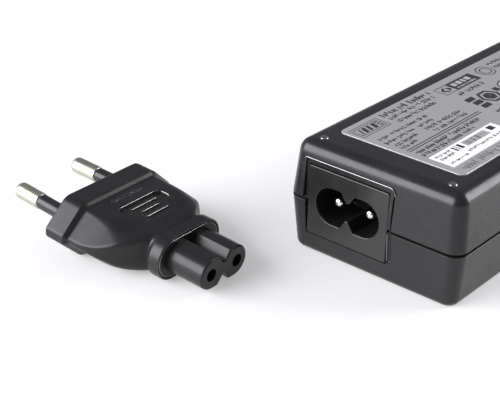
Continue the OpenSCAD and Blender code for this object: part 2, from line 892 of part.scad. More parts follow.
case_lower();
case_upper();
rating_label();
serial_sticker();
inlet_housing();
inlet_pin(1);  // inlet_pin_line
inlet_pin(-1);  // inlet_pin_neutral
inlet_lead(1, "#6b4a30");  // inlet_lead_line
inlet_lead(-1, "#3b62a8");  // inlet_lead_neutral
cable_gland();
circuit_board();
insulation_sheet();
emi_shield();
heat_spreader();
thermal_pads();
fuse();
varistor();
inrush_thermistor();
x_capacitor();
choke_core();
choke_windings();
bridge_rectifier();
bulk_capacitor();
primary_heatsink();
switching_transistor();
heatsink_screws();
transformer_core();
transformer_bobbin();
transformer_windings();
y_capacitor();
optocoupler();
control_chip();
secondary_heatsink();
output_rectifier();
output_capacitors();
output_choke();
plug_body();
connector_nose();
pin_carrier();
plug_pin(1);  // plug_pin_line
plug_pin(-1);  // plug_pin_neutral
pin_sleeve(1);  // pin_sleeve_line
pin_sleeve(-1);  // pin_sleeve_neutral
socket_contact(1);  // socket_contact_line
socket_contact(-1);  // socket_contact_neutral
contact_link(1);  // contact_link_line
contact_link(-1);  // contact_link_neutral
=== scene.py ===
"""Studio scene of a laptop power adapter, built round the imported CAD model. Lengths are in metres."""
import json
import math
import random

import bmesh
import bpy
from mathutils import Matrix, Vector


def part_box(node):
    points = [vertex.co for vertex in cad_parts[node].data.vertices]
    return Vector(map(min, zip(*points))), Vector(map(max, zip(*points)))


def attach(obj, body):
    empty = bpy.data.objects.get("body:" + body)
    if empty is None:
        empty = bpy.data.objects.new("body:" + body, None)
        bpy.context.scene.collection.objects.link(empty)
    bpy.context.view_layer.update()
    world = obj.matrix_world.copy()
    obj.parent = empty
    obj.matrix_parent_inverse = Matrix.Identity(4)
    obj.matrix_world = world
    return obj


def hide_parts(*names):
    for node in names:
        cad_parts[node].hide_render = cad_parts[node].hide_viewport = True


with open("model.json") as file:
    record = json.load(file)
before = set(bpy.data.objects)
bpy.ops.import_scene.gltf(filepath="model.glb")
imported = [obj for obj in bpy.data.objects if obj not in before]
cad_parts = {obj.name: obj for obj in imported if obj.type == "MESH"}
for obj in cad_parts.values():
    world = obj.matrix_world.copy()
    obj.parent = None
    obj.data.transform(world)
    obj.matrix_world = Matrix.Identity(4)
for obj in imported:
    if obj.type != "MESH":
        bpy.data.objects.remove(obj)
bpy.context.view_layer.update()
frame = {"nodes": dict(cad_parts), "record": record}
record = frame["record"]
mounts = {m["name"]: m for m in record["mounts"]}
MM = 0.001
ENDS = ("line", "neutral")

# ---------------------------------------------------------------- the brick's sizes

lower_lo, lower_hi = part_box("case_lower")
upper_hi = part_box("case_upper")[1]
label_lo, label_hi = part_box("rating_label")
inlet_lo, inlet_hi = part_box("inlet_housing")
BRICK_L = lower_hi.x - lower_lo.x
BRICK_W = lower_hi.y - lower_lo.y
PART_Z = 13.6 * MM
PIP_RISE = 0.5 * MM
BRICK_H = upper_hi.z - PIP_RISE
WALL = 2.2 * MM
SEAM = 0.32 * MM
CORNER_R = 3.4 * MM
DRAFT_TOP = 0.9 * MM
DRAFT_LOW = 1.05 * MM
FILLET_TOP = 3.3 * MM
FILLET_LOW = 1.85 * MM
SEAM_EDGE = 0.1 * MM
LABEL_DEEP = 0.2 * MM
LABEL_GAP = 0.25 * MM
LABEL_R = 1.6 * MM
END_X = lower_lo.x

INLET_Y = (mounts["inlet_pin_line"]["pos_m"][1] + mounts["inlet_pin_neutral"]["pos_m"][1]) / 2
INLET_Z = mounts["inlet_pin_line"]["pos_m"][2]
INLET_W = 21.8 * MM
INLET_H = 17 * MM
INLET_FACE = inlet_lo.x
INLET_BACK = inlet_hi.x
RECESS_DEPTH = 11.5 * MM
FRAME_NEAR = 1.4 * MM
FRAME_FAR = 1.0 * MM
FRAME_TOP = 1.5 * MM
FRAME_LOW = 0.25 * MM
FRAME_LEDGE = 0.95 * MM
FRAME_GROOVE = 0.24 * MM
FRAME_DEEP = 1.75 * MM
FRAME_R = 1.6 * MM
STRIP_GROOVE = 0.42 * MM
STRIP_GAP = 0.2 * MM
STRIP_DEEP = 0.3 * MM
SLOT_R = 0.6 * MM
SLOT_OUT = 0.15 * MM
SLOT_Y = INLET_Y - INLET_W / 2 - SLOT_R - 0.36 * MM
BEAD_R = 0.15 * MM
EDGE_R = 0.12 * MM
GLAND_SEAT_R = 4.7 * MM

# ---------------------------------------------------------------- the plug piece's own axes

SOCKET_U = 36.3 * MM
FLANGE_D = 6.5 * MM
FLANGE_HALF = 17.65 * MM
FLANGE_RISE = 6.85 * MM
BODY_HALF = 16.8 * MM
BODY_RISE = 6.0 * MM
BODY_ARC_R = 15.8 * MM
BODY_ARC_U = 8.8 * MM
NECK_HALF = 8.3 * MM
COLLAR_BACK = 24.4 * MM
COLLAR_FRONT = 27.5 * MM
COLLAR_HALF = 10.4 * MM
COLLAR_RISE = 5.3 * MM
NOSE_ROOT = 22.5 * MM
NOSE_END = 37.8 * MM
NOSE_W = 15.2 * MM
NOSE_H = 7.6 * MM
PIN_PITCH = 8.6 * MM
SLEEVE_L = 10 * MM
WALL_PIN_L = 18 * MM


def plug_axes():
    """Matrix from the plug piece's own axes (u along it, v across it, w up) to the row's frame."""
    a = Vector(mounts["socket_hole_line"]["pos_m"])
    b = Vector(mounts["socket_hole_neutral"]["pos_m"])
    u = Vector(mounts["socket_hole_line"]["axis"]).normalized()
    v = (a - b).normalized()
    w = u.cross(v).normalized()
    origin = (a + b) / 2 - u * SOCKET_U
    m = Matrix((u, v, w)).transposed().to_4x4()
    m.translation = origin
    return m


PLUG = plug_axes()

# ---------------------------------------------------------------- mesh helpers


def placed(name, data):
    """New object in the scene for a mesh, a light or a camera."""
    obj = bpy.data.objects.new(name, data)
    bpy.context.scene.collection.objects.link(obj)
    return obj


def new_object(name, verts, faces):
    mesh = bpy.data.meshes.new(name)
    mesh.from_pydata([tuple(v) for v in verts], [], faces)
    bm = bmesh.new()
    bm.from_mesh(mesh)
    bmesh.ops.recalc_face_normals(bm, faces=bm.faces)
    bm.to_mesh(mesh)
    bm.free()
    mesh.update()
    return placed(name, mesh)


def loft(name, rings, closed=False):
    """Skin through rings of equal length. Ends are capped, or joined to each other if closed."""
    n = len(rings[0])
    verts = [p for ring in rings for p in ring]
    faces = []
    last = len(rings) if closed else len(rings) - 1
    for i in range(last):
        a, b = i * n, ((i + 1) % len(rings)) * n
        for k in range(n):
            m = (k + 1) % n
            faces.append((a + k, a + m, b + m, b + k))
    if not closed:
        faces.append(tuple(range(n - 1, -1, -1)))
        faces.append(tuple(range((len(rings) - 1) * n, len(rings) * n)))
    return new_object(name, verts, faces)


def lathe(name, profile, matrix, segments=72, closed=False):
    """Turns a profile of (radius, distance) about the local x axis of matrix."""
    rings = []
    for r, x in profile:
        r = max(r, 1e-6)
        rings.append([
            matrix @ Vector((x, r * math.cos(a), r * math.sin(a)))
            for a in (2 * math.pi * k / segments for k in range(segments))
        ])
    return loft(name, rings, closed)


def arc(cx, cy, r, start, end, steps):
    """Points on an arc, angles in degrees, both ends included."""
    return [
        (cx + r * math.cos(math.radians(start + (end - start) * i / steps)),
         cy + r * math.sin(math.radians(start + (end - start) * i / steps)))
        for i in range(steps + 1)
    ]


def rounding(r, steps=4):
    """(distance from the end, inset) pairs round an edge of radius r, from its face to its side."""
    return [(r * (1 - math.sin(math.radians(t))), r * (1 - math.cos(math.radians(t))))
            for t in (90 - 90 * i / steps for i in range(steps + 1))]


def rounded_rect(hx, hy, r, steps=10):
    r = max(min(r, hx, hy), 0.02 * MM)
    points = []
    for sx, sy, start in ((1, 1, 0), (-1, 1, 90), (-1, -1, 180), (1, -1, 270)):
        points += arc(sx * (hx - r), sy * (hy - r), r, start, start + 90, steps)
    return points


def filleted(points, radii, steps=5):
    """Closed outline with each corner replaced by an arc of its own radius."""
    out = []
    n = len(points)
    for i, (p, r) in enumerate(zip(points, radii)):
        p = Vector(p)
        if r <= 0:
            out.append((p.x, p.y))
            continue
        before = (Vector(points[i - 1]) - p).normalized()
        after = (Vector(points[(i + 1) % n]) - p).normalized()
        half = before.angle(after) / 2
        reach = r / math.tan(half)
        centre = p + (before + after).normalized() * (r / math.sin(half))
        a, b = p + before * reach - centre, p + after * reach - centre
        turn = a.angle_signed(b)
        for k in range(steps + 1):
            t = -turn * k / steps
            c, s = math.cos(t), math.sin(t)
            q = centre + Vector((a.x * c - a.y * s, a.x * s + a.y * c))
            out.append((q.x, q.y))
    return out


def apply_modifiers(obj):
    depsgraph = bpy.context.evaluated_depsgraph_get()
    mesh = bpy.data.meshes.new_from_object(obj.evaluated_get(depsgraph))
    obj.modifiers.clear()
    old = obj.data
    obj.data = mesh
    bpy.data.meshes.remove(old)


def cut(obj, *cutters):
    for cutter in cutters:
        mod = obj.modifiers.new("cut", "BOOLEAN")
        mod.operation = "DIFFERENCE"
        mod.solver = "EXACT"
        mod.object = cutter
    apply_modifiers(obj)
    for cutter in cutters:
        bpy.data.objects.remove(cutter)


def soften(obj, width, angle=50, segments=3):
    """Small round on every edge sharper than the angle."""
    mod = obj.modifiers.new("round", "BEVEL")
    mod.width = width
    mod.segments = segments
    mod.limit_method = "ANGLE"
    mod.angle_limit = math.radians(angle)
    mod.miter_outer = "MITER_ARC"
    apply_modifiers(obj)


def smooth(obj, angle=35):
    """Smooth shading that breaks at sharp edges and keeps flat faces flat. Returns the object."""
    bm = bmesh.new()
    bm.from_mesh(obj.data)
    for face in bm.faces:
        face.smooth = True
    for edge in bm.edges:
        edge.smooth = edge.is_manifold and edge.calc_face_angle(0) < math.radians(angle)
    bm.to_mesh(obj.data)
    bm.free()
    mod = obj.modifiers.new("normals", "WEIGHTED_NORMAL")
    mod.keep_sharp = True
    mod.weight = 60
    apply_modifiers(obj)
    return obj


def joined(name, objs, angle=35):
    """One smooth object made of several, which are used up."""
    bm = bmesh.new()
    for obj in objs:
        bm.from_mesh(obj.data)
        bpy.data.objects.remove(obj)
    mesh = bpy.data.meshes.new(name)
    bm.to_mesh(mesh)
    bm.free()
    return smooth(placed(name, mesh), angle)


def inlet_block(name, outline, x0, x1):
    """Block whose outline, across and up from the inlet's middle, is pushed along x."""
    return loft(name, [[(x, INLET_Y + y, INLET_Z + z) for y, z in outline] for x in (x0, x1)])


# ---------------------------------------------------------------- material helpers


class Nodes:
    """Short way to build a node tree."""

    def __init__(self, name):
        self.material = bpy.data.materials.new(name)
        self.material.use_nodes = True
        self.tree = self.material.node_tree
        self.shader = self.tree.nodes["Principled BSDF"]

    def add(self, kind, **values):
        node = self.tree.nodes.new(kind)
        for key, value in values.items():
            if hasattr(node, key):
                setattr(node, key, value)
            else:
                node.inputs[key.replace("_", " ")].default_value = value
        return node

    def shade(self, **values):
        for key, value in values.items():
            self.shader.inputs[key.replace("_", " ")].default_value = value

    def link(self, a, out, b, inp):
        self.tree.links.new(a.outputs[out], b.inputs[inp])

    def noise(self, scale, detail=3.0, rough=0.5, stretch=None):
        coord = self.add("ShaderNodeTexCoord")
        node = self.add("ShaderNodeTexNoise", Scale=scale, Detail=detail, Roughness=rough)
        if stretch:
            mapping = self.add("ShaderNodeMapping", Scale=stretch)
            self.link(coord, "Object", mapping, "Vector")
            self.link(mapping, "Vector", node, "Vector")
        else:
            self.link(coord, "Object", node, "Vector")
        return node

    def ramp(self, source, out, low, high, lo_pos=0.35, hi_pos=0.65):
        node = self.add("ShaderNodeMapRange")
        node.inputs["From Min"].default_value = lo_pos
        node.inputs["From Max"].default_value = hi_pos
        node.inputs["To Min"].default_value = low
        node.inputs["To Max"].default_value = high
        self.link(source, out, node, "Value")
        return node

    def tint(self, factor, out, dark, light):
        node = self.add("ShaderNodeMix", data_type="RGBA")
        self.tree.links.new(factor.outputs[out], node.inputs[0])
        for socket, colour in zip([s for s in node.inputs if s.type == "RGBA"], (dark, light)):
            socket.default_value = (*colour, 1)
        return node

    def colour_from(self, node):
        result = [s for s in node.outputs if s.type == "RGBA"][0]
        self.tree.links.new(result, self.shader.inputs["Base Color"])

    def mottle(self, source, low, high, dark, light):
        """Base colour that goes from dark to light as the source goes from low to high."""
        self.colour_from(self.tint(self.ramp(source, "Fac", 0, 1, low, high), "Result", dark, light))

    def uneven_gloss(self, source, low, high):
        self.link(self.ramp(source, "Fac", low, high, 0.3, 0.7), "Result", self.shader, "Roughness")

    def bump(self, height, out, strength, distance, under=None):
        node = self.add("ShaderNodeBump")
        node.inputs["Strength"].default_value = strength
        node.inputs["Distance"].default_value = distance
        self.link(height, out, node, "Height")
        if under:
            self.link(under, "Normal", node, "Normal")
        return node


def moulded_nodes(name, colour, rough, grain=0.12, grain_scale=3800, gloss=0.5, spread=0.18):
    """Moulded plastic: eroded grain, faint rub marks, slightly uneven gloss and colour."""
    n = Nodes(name)
    dark = tuple(c * (1 - spread) for c in colour)
    light = tuple(min(1, c * (1 + spread) + 0.001) for c in colour)
    n.mottle(n.noise(70, 4), 0.3, 0.7, dark, light)
    n.uneven_gloss(n.noise(260, 6, 0.7), rough - 0.05, rough + 0.07)
    fine = n.noise(grain_scale, 2, 0.6)
    wave = n.noise(90, 2)
    under = n.bump(wave, "Fac", 0.05, 0.2 * MM)
    top = n.bump(fine, "Fac", grain, 0.03 * MM, under)
    n.link(top, "Normal", n.shader, "Normal")
    n.shade(IOR=1.42, Specular_IOR_Level=gloss)
    return n


def moulded(*args):
    return moulded_nodes(*args).material


def polished(name, colour):
    """Edge of a moulding, polished by the tool, with a hard bright lustre."""
    n = moulded_nodes(name, colour, 0.16, 0.01, 3800, 1.0)
    n.shade(IOR=2.1)
    return n.material


def metal(name, colour, rough, stretch=(1, 1, 1), scratch=0.15, uneven_by=0.15):
    """Plated or sheet metal: fine drawn scratches, handling stains in its gloss."""
    n = Nodes(name)
    stains = n.noise(320, 5, 0.65)
    n.mottle(stains, 0.3, 0.75, tuple(c * 0.86 for c in colour), colour)
    n.uneven_gloss(stains, rough - uneven_by / 3, rough + uneven_by * 2 / 3)
    lines = n.noise(2600, 3, 0.6, stretch)
    top = n.bump(lines, "Fac", scratch, 0.02 * MM)
    n.link(top, "Normal", n.shader, "Normal")
    n.shade(Metallic=1.0)
    return n.material


def film(name, colour, rough, speck=0.06, coat=0.0, silver=0.0):
    """Printed label film: fine speckle, faint creases and soft sheen."""
    n = Nodes(name)
    speckle = n.noise(5200, 2, 0.6)
    dark = tuple(c * (1 - speck) for c in colour)
    light = tuple(min(1, c * (1 + speck)) for c in colour)
    n.mottle(speckle, 0.3, 0.7, dark, light)
    clouds = n.noise(60, 4)
    n.uneven_gloss(clouds, rough - 0.06, rough + 0.08)
    top = n.bump(clouds, "Fac", 0.06, 0.3 * MM, n.bump(speckle, "Fac", 0.05, 0.01 * MM))
    n.link(top, "Normal", n.shader, "Normal")
    n.shade(Metallic=silver, Coat_Weight=coat, Coat_Roughness=0.12)
    return n.material


def printed(name, colour):
    """Printing ink with a slightly broken edge to its density."""
    n = Nodes(name)
    grain = n.noise(7000, 2)
    n.mottle(grain, 0.35, 0.65, colour, tuple(c * 1.3 + 0.015 for c in colour))
    n.link(n.ramp(grain, "Fac", 0.4, 0.55), "Result", n.shader, "Roughness")
    return n.material


def paint_hollow_shade(n, distance, edge, depth):
    """Paints shade into a moulded plastic: near black, with weaker specular, where distance (a node, output
    0) climbs past the edge.
    """
    outside = n.shader.inputs["Specular IOR Level"].default_value
    factor = n.ramp(distance, 0, 0, 1, edge - depth, edge)
    shade = n.add("ShaderNodeMix", data_type="RGBA")
    link = n.shader.inputs["Base Color"].links[0]
    colour_in = [s for s in shade.inputs if s.type == "RGBA"]
    colour_out = [s for s in shade.outputs if s.type == "RGBA"][0]
    n.tree.links.new(link.from_socket, colour_in[0])
    # near-black colour of the painted shade
    colour_in[1].default_value = (0.010, 0.010, 0.0104, 1)
    n.tree.links.new(factor.outputs[0], shade.inputs[0])
    n.tree.links.new(colour_out, n.shader.inputs["Base Color"])
    n.link(n.ramp(distance, 0, outside, 0.25, edge - depth, edge), 0, n.shader, "Specular IOR Level")


def inlet_plastic_painted_shade():
    """Inlet plastic, with painted shade that turns it near black down inside the connector recess."""
    n = moulded_nodes("inlet_black_painted_recess_shade", (0.0135, 0.0135, 0.014), 0.2, 0.03, 3800, 0.75)
    coord = n.add("ShaderNodeTexCoord")
    split = n.add("ShaderNodeSeparateXYZ")
    n.link(coord, "Object", split, "Vector")
    inward = n.add("ShaderNodeMath", operation="SUBTRACT")
    n.link(split, "X", inward, 0)
    inward.inputs[1].default_value = INLET_FACE
    # painted shade: near black from 0.6 mm behind the inlet's face inward
    paint_hollow_shade(n, inward, 0.6 * MM, 0.15 * MM)
    return n.material


def nose_plastic_painted_shade():
    """Connector nose plastic, with painted shade that turns it near black inside its two holes."""
    n = moulded_nodes("nose_black_painted_hole_shade", (0.0155, 0.0153, 0.0163), 0.27, 0.02, 3800, 0.38)
    coord = n.add("ShaderNodeTexCoord")
    near = []
    for end in ENDS:
        mount = mounts["socket_hole_" + end]
        apart = n.add("ShaderNodeVectorMath", operation="SUBTRACT")
        n.link(coord, "Object", apart, 0)
        apart.inputs[1].default_value = mount["pos_m"]
        across = n.add("ShaderNodeVectorMath", operation="CROSS_PRODUCT")
        n.link(apart, 0, across, 0)
        across.inputs[1].default_value = mount["axis"]
        length = n.add("ShaderNodeVectorMath", operation="LENGTH")
        n.link(across, 0, length, 0)
        near.append(length)
    least = n.add("ShaderNodeMath", operation="MINIMUM")
    for i, node in enumerate(near):
        n.link(node, "Value", least, i)
    inside = n.add("ShaderNodeMath", operation="MULTIPLY")
    n.link(least, 0, inside, 0)
    inside.inputs[1].default_value = -1
    # painted shade: near black within 1.52 mm of each hole's axis
    paint_hollow_shade(n, inside, -1.52 * MM, 0.05 * MM)
    return n.material


CASE = moulded("case_black", (0.0135, 0.0133, 0.0143), 0.26, 0.02, 3800, 0.46)
INLET = inlet_plastic_painted_shade()
PLUG_SKIN = moulded("plug_black", (0.0115, 0.0112, 0.0121), 0.32, 0.02, 3200, 0.42)
NOSE_SKIN = nose_plastic_painted_shade()
SLEEVE_SKIN = moulded("sleeve_black", (0.012, 0.014, 0.015), 0.28, 0.02)
CASE_EDGE = polished("case_edge_polished", (0.014, 0.014, 0.0145))
PLUG_EDGE = polished("plug_edge_polished", (0.012, 0.012, 0.0126))
GLAND_SKIN = moulded("gland_black", (0.016, 0.016, 0.016), 0.6, 0.25, 2600)
NICKEL = metal("pin_nickel_plate", (0.57, 0.555, 0.47), 0.34, (1, 1, 1), 0.003, 0.02)
TIP_METAL = metal("inlet_nickel_plate", (0.85, 0.83, 0.8), 0.12, (1, 1, 1), 0.02)
LABEL = film("label_silver", (0.37, 0.37, 0.375), 0.42, coat=1.0, silver=0.2)
STICKER = film("sticker_white", (0.86, 0.86, 0.87), 0.5, 0.02)
INK = printed("ink_black", (0.012, 0.012, 0.014))
INK_GREY = printed("ink_grey", (0.13, 0.13, 0.135))
INK_PALE = printed("ink_pale", (0.34, 0.34, 0.35))

# ---------------------------------------------------------------- the two shells


def level_ring(hx, hy, r, z):
    return [(x, y, z) for x, y in rounded_rect(hx, hy, r, 12)]


def case_ring(inset, z, r):
    return level_ring(BRICK_L / 2 - inset, BRICK_W / 2 - inset, r, z)


def shell_profile(z_seam, z_far, draft, edge_r):
    """(inset, height, plan radius) from the outer rim to where the flat face starts."""
    side = 1 if z_far > z_seam else -1
    z_edge = z_far - side * edge_r
    tilt = math.degrees(math.atan2(draft, abs(z_edge - PART_Z)))
    rim = arc(SEAM_EDGE, 0, SEAM_EDGE, 270, 180, 4)
    points = [(x, z_seam + side * (SEAM_EDGE + y), CORNER_R) for x, y in rim]
    points.append(((draft + points[-1][0]) / 2, (z_edge + points[-1][1]) / 2, CORNER_R - draft / 6))
    for x, y in arc(draft + edge_r, 0, edge_r, 180 - tilt, 90, 12):
        points.append((x, z_edge + side * y, CORNER_R - draft / 3 - max(x - draft, 0)))
    return points


def frame_outline(near, far, top, low, near_r, far_r):
    """Outline (across, up) round the inlet: near is the -Y side, far the +Y side."""
    y0, y1 = -INLET_W / 2 - near, INLET_W / 2 + far
    z0, z1 = -INLET_H / 2 - low, INLET_H / 2 + top
    return filleted([(y0, z1), (y0, z0), (y1, z0), (y1, z1)], [near_r, near_r, far_r, far_r], 8)


def inlet_hole():
    gap = 0.2 * MM
    return inlet_block("cut_hole", rounded_rect(INLET_W / 2 + gap, INLET_H / 2 + gap, 0.5 * MM),
                       END_X + 0.5 * MM, END_X + 6 * MM)


def upper_frame_cutters():
    """Shallow ledge round the inlet with a narrow groove along its outer border."""
    x0 = END_X - 2 * MM
    outer = frame_outline(FRAME_NEAR, FRAME_FAR, FRAME_TOP, 5 * MM, FRAME_R, 0.4 * MM)
    g, strip_g = FRAME_GROOVE, STRIP_GROOVE
    inner = frame_outline(FRAME_NEAR - strip_g, FRAME_FAR - g, FRAME_TOP - g, 6 * MM, FRAME_R - g, 0.3 * MM)
    beside = frame_outline(STRIP_GAP, FRAME_FAR, FRAME_TOP, 5 * MM, 0.3 * MM, 0.4 * MM)
    ledge = inlet_block("cut_ledge", beside, x0, END_X + FRAME_LEDGE)
    strip = inlet_block("cut_strip", outer, x0, END_X + STRIP_DEEP)
    groove = inlet_block("cut_groove", outer, x0, END_X + FRAME_DEEP)
    cut(groove, inlet_block("cut_core", inner, x0 - 1 * MM, END_X + 3 * MM))
    return ledge, strip, groove, inlet_hole()


def lower_face_x(z):
    """Where the drafted end face of the lower shell lies at height z."""
    return END_X + DRAFT_LOW * (PART_Z - z) / (PART_Z - FILLET_LOW)


def lower_frame_cutters():
    """Close-fitting pocket with an upright round-ended slot along the near side of the inlet."""
    x0 = END_X - 2 * MM
    outer = frame_outline(0.3 * MM, 0.35 * MM, 5 * MM, FRAME_LOW, 0.4 * MM, 0.4 * MM)
    pocket = inlet_block("cut_pocket", outer, x0, END_X + FRAME_DEEP)
    foot = INLET_Z - INLET_H / 2 + 0.2 * MM
    profile = arc(0, SLOT_R, SLOT_R, -90, 0, 9)
    profile += [(SLOT_R * 1.1, 8 * MM), (SLOT_R * 1.1, 12 * MM), (0, 12 * MM)]
    place = Matrix.Translation((lower_face_x(foot) - SLOT_OUT, SLOT_Y, foot))
    lean = math.atan2(DRAFT_LOW, PART_Z - FILLET_LOW)
    upright = Matrix.Rotation(math.radians(-90) - lean, 4, "Y")
    slot = lathe("cut_slot", profile, place @ upright, 40)
    return pocket, slot, inlet_hole()


def gland_cutter():
    seat = Matrix.Translation((BRICK_L / 2 - 6 * MM, 0, PART_Z))
    return lathe("cut_gland", [(0, 0), (GLAND_SEAT_R, 0), (GLAND_SEAT_R, 9 * MM), (0, 9 * MM)], seat)


def case_upper():
    seam = PART_Z + SEAM
    outer = shell_profile(seam, BRICK_H, DRAFT_TOP, FILLET_TOP)
    groove = [(2.2 * MM, PART_Z + 1.7 * MM, 1.4 * MM), (1.1 * MM, PART_Z + 1.6 * MM, 2.6 * MM),
              (1.1 * MM, seam, 2.6 * MM)]
    ceiling = BRICK_H - WALL
    inner = [(WALL + DRAFT_TOP + 0.9 * MM, ceiling, 1 * MM),
             (WALL + DRAFT_TOP, ceiling - 0.9 * MM, 1.4 * MM)]
    rings = [case_ring(*p) for p in inner + groove + outer]
    label_hx = (label_hi.x - label_lo.x) / 2 + LABEL_GAP
    label_hy = (label_hi.y - label_lo.y) / 2 + LABEL_GAP
    for grow, z in ((0.1 * MM, BRICK_H), (0.03 * MM, BRICK_H - 0.03 * MM), (0, BRICK_H - 0.1 * MM),
                    (0, BRICK_H - LABEL_DEEP)):
        rings.append(level_ring(label_hx + grow, label_hy + grow, LABEL_R + LABEL_GAP + grow, z))
    obj = loft("shell_upper", rings)
    cut(obj, *upper_frame_cutters(), gland_cutter())
    soften(obj, 0.14 * MM)
    return smooth(obj)


def case_lower():
    seam = PART_Z - SEAM
    outer = shell_profile(seam, 0, DRAFT_LOW, FILLET_LOW)
    tongue = [(2.2 * MM, seam + 1.5 * MM, 1.4 * MM), (1.2 * MM, seam + 1.5 * MM, 2.6 * MM),
              (1.2 * MM, seam, 2.6 * MM)]
    inner = [(WALL + DRAFT_LOW + 0.9 * MM, WALL, 1 * MM),
             (WALL + DRAFT_LOW, WALL + 0.9 * MM, 1.4 * MM)]
    obj = loft("shell_lower", [case_ring(*p) for p in inner + tongue + outer])
    cut(obj, *lower_frame_cutters(), gland_cutter())
    soften(obj, 0.14 * MM)
    return smooth(obj)


def case_pips():
    """Four small moulded domes near the corners of the top face."""
    profile = [(0, -0.3 * MM), (1.15 * MM, -0.3 * MM), (1.12 * MM, 0.01 * MM), (1.0 * MM, 0.04 * MM)]
    squash = 0.45
    profile += [(r, squash * (h + 0.05 * MM)) for r, h in arc(0, 0, 0.95 * MM, 8, 90, 10)]
    upright = Matrix.Rotation(math.radians(-90), 4, "Y")
    x, y = BRICK_L / 2 - 4.9 * MM, BRICK_W / 2 - 6.1 * MM
    return joined("case_pips", [
        lathe("pip", profile, Matrix.Translation((sx * x, sy * y, BRICK_H)) @ upright, 32)
        for sx in (-1, 1) for sy in (-1, 1)
    ])


def frame_lip():
    """Thin raised lip round the upper part of the opening for the inlet."""
    out = 0.06 * MM
    outline = frame_outline(FRAME_NEAR + out, FRAME_FAR + out, FRAME_TOP + out, 5 * MM, FRAME_R, 0.4 * MM)
    z_low = PART_Z + 6 * MM - INLET_Z
    path = sorted([p for p in outline if p[1] > z_low], key=lambda p: -p[0])
    rings = []
    for k, (y, z) in enumerate(path):
        before, after = path[max(k - 1, 0)], path[min(k + 1, len(path) - 1)]
        dy, dz = after[0] - before[0], after[1] - before[1]
        length = math.hypot(dy, dz)
        across = (-dz / length, dy / length)
        lean = DRAFT_TOP * (INLET_Z + z - PART_Z) / (BRICK_H - PART_Z)
        ring = []
        for t in range(0, 360, 45):
            a = math.radians(t)
            side, rise = BEAD_R * math.cos(a), BEAD_R * math.sin(a)
            ring.append((END_X + lean - rise, INLET_Y + y + across[0] * side, INLET_Z + z + across[1] * side))
        rings.append(ring)
    return loft("lip", rings)


def slot_edge():
    """Upright bright edge between the slot and the inlet, on the lower shell."""
    foot, top = INLET_Z - INLET_H / 2 + 0.8 * MM, PART_Z - SEAM - 0.3 * MM
    y = SLOT_Y + SLOT_R * 0.9
    rings = []
    for z in (foot, (foot + top) / 2, top):
        x = lower_face_x(z) + EDGE_R * 0.9
        rings.append([(x + a, y + b, z) for a, b in arc(0, 0, EDGE_R, 0, 315, 7)])
    return loft("edge", rings)


def frame_bead():
    return joined("inlet_bead", [frame_lip(), slot_edge()], 80)


# ---------------------------------------------------------------- the inlet


def figure_eight(w, h, half, deep, tip, mouth_r=0.35 * MM, tip_r=0.3 * MM):
    """Outline of two joined lobes with a notch above and below."""
    r = h / 2
    cx = w / 2 - r
    points, radii = [], []
    for s in (1, -1):
        lobe = arc(s * cx, 0, r, -90 if s > 0 else 90, 90 if s > 0 else 270, 28)
        points += lobe
        radii += [0] * len(lobe)
        notch = [(s * half, s * r), (s * tip, s * (r - deep)), (-s * tip, s * (r - deep)), (-s * half, s * r)]
        points += notch
        radii += [mouth_r, tip_r, tip_r, mouth_r]
    return filleted(points, radii)


def inlet_housing():
    steps = [(INLET_FACE + x, -inset) for x, inset in rounding(0.22 * MM, 3)]
    flange_x, flange_end = INLET_FACE + 2.65 * MM, INLET_FACE + 4.25 * MM
    flange = 1.4 * MM
    steps += [(flange_x, 0), (flange_x, flange), (flange_end, flange), (flange_end, 0), (INLET_BACK, 0)]
    rings = []
    for x, grow in steps:
        outline = rounded_rect(INLET_W / 2 + grow, INLET_H / 2 + grow, 0.5 * MM)
        rings.append([(x, INLET_Y + y, INLET_Z + z) for y, z in outline])
    obj = loft("inlet_block", rings)
    outline = figure_eight(17.3 * MM, 9 * MM, 1.85 * MM, 2.3 * MM, 0.35 * MM)
    cut(obj, inlet_block("cut_recess", outline, INLET_FACE - 1 * MM, INLET_FACE + RECESS_DEPTH))
    soften(obj, 0.2 * MM, 50, 4)
    return smooth(obj)


def inlet_pin(name, node):
    lo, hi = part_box(node)
    r = (hi.y - lo.y) / 2
    dome = [(y, 0.75 * (r + x)) for y, x in arc(0, 0, r, -90, 0, 10)]
    shoulder, end = INLET_FACE + RECESS_DEPTH - 0.3 * MM - lo.x, hi.x - lo.x
    stem = 0.83 * r
    profile = dome + [(r, shoulder), (stem, shoulder), (stem, end - 0.2 * MM), (0.6 * r, end), (0, end)]
    return smooth(lathe(name, profile, Matrix.Translation((lo.x, (lo.y + hi.y) / 2, (lo.z + hi.z) / 2))))


def cable_gland():
    lo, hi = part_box("cable_gland")
    back, front = lo.x, hi.x
    bore, body, lip = 2.3 * MM, 4.6 * MM, 5.4 * MM
    lip_x = BRICK_L / 2 - WALL - 2.1 * MM
    lip_end = lip_x + 1.4 * MM
    chamfer, edge = 0.4 * MM, 0.5 * MM
    profile = [(bore, back), (body - chamfer, back), (body, back + chamfer), (body, lip_x), (lip, lip_x),
               (lip, lip_end), (body, lip_end)]
    profile += arc(body - edge, front - edge, edge, 0, 90, 4)
    flute = 0.35 * MM
    rim = bore + 1.2 * MM
    profile += [(rim, front), (rim - flute, front - flute), (bore + flute, front - flute), (bore, front)]
    return smooth(lathe("gland_sleeve", profile, Matrix.Translation((0, 0, PART_Z)), closed=True))


# ---------------------------------------------------------------- print on the label

TOP = label_hi.z
INK_H = 0.012 * MM


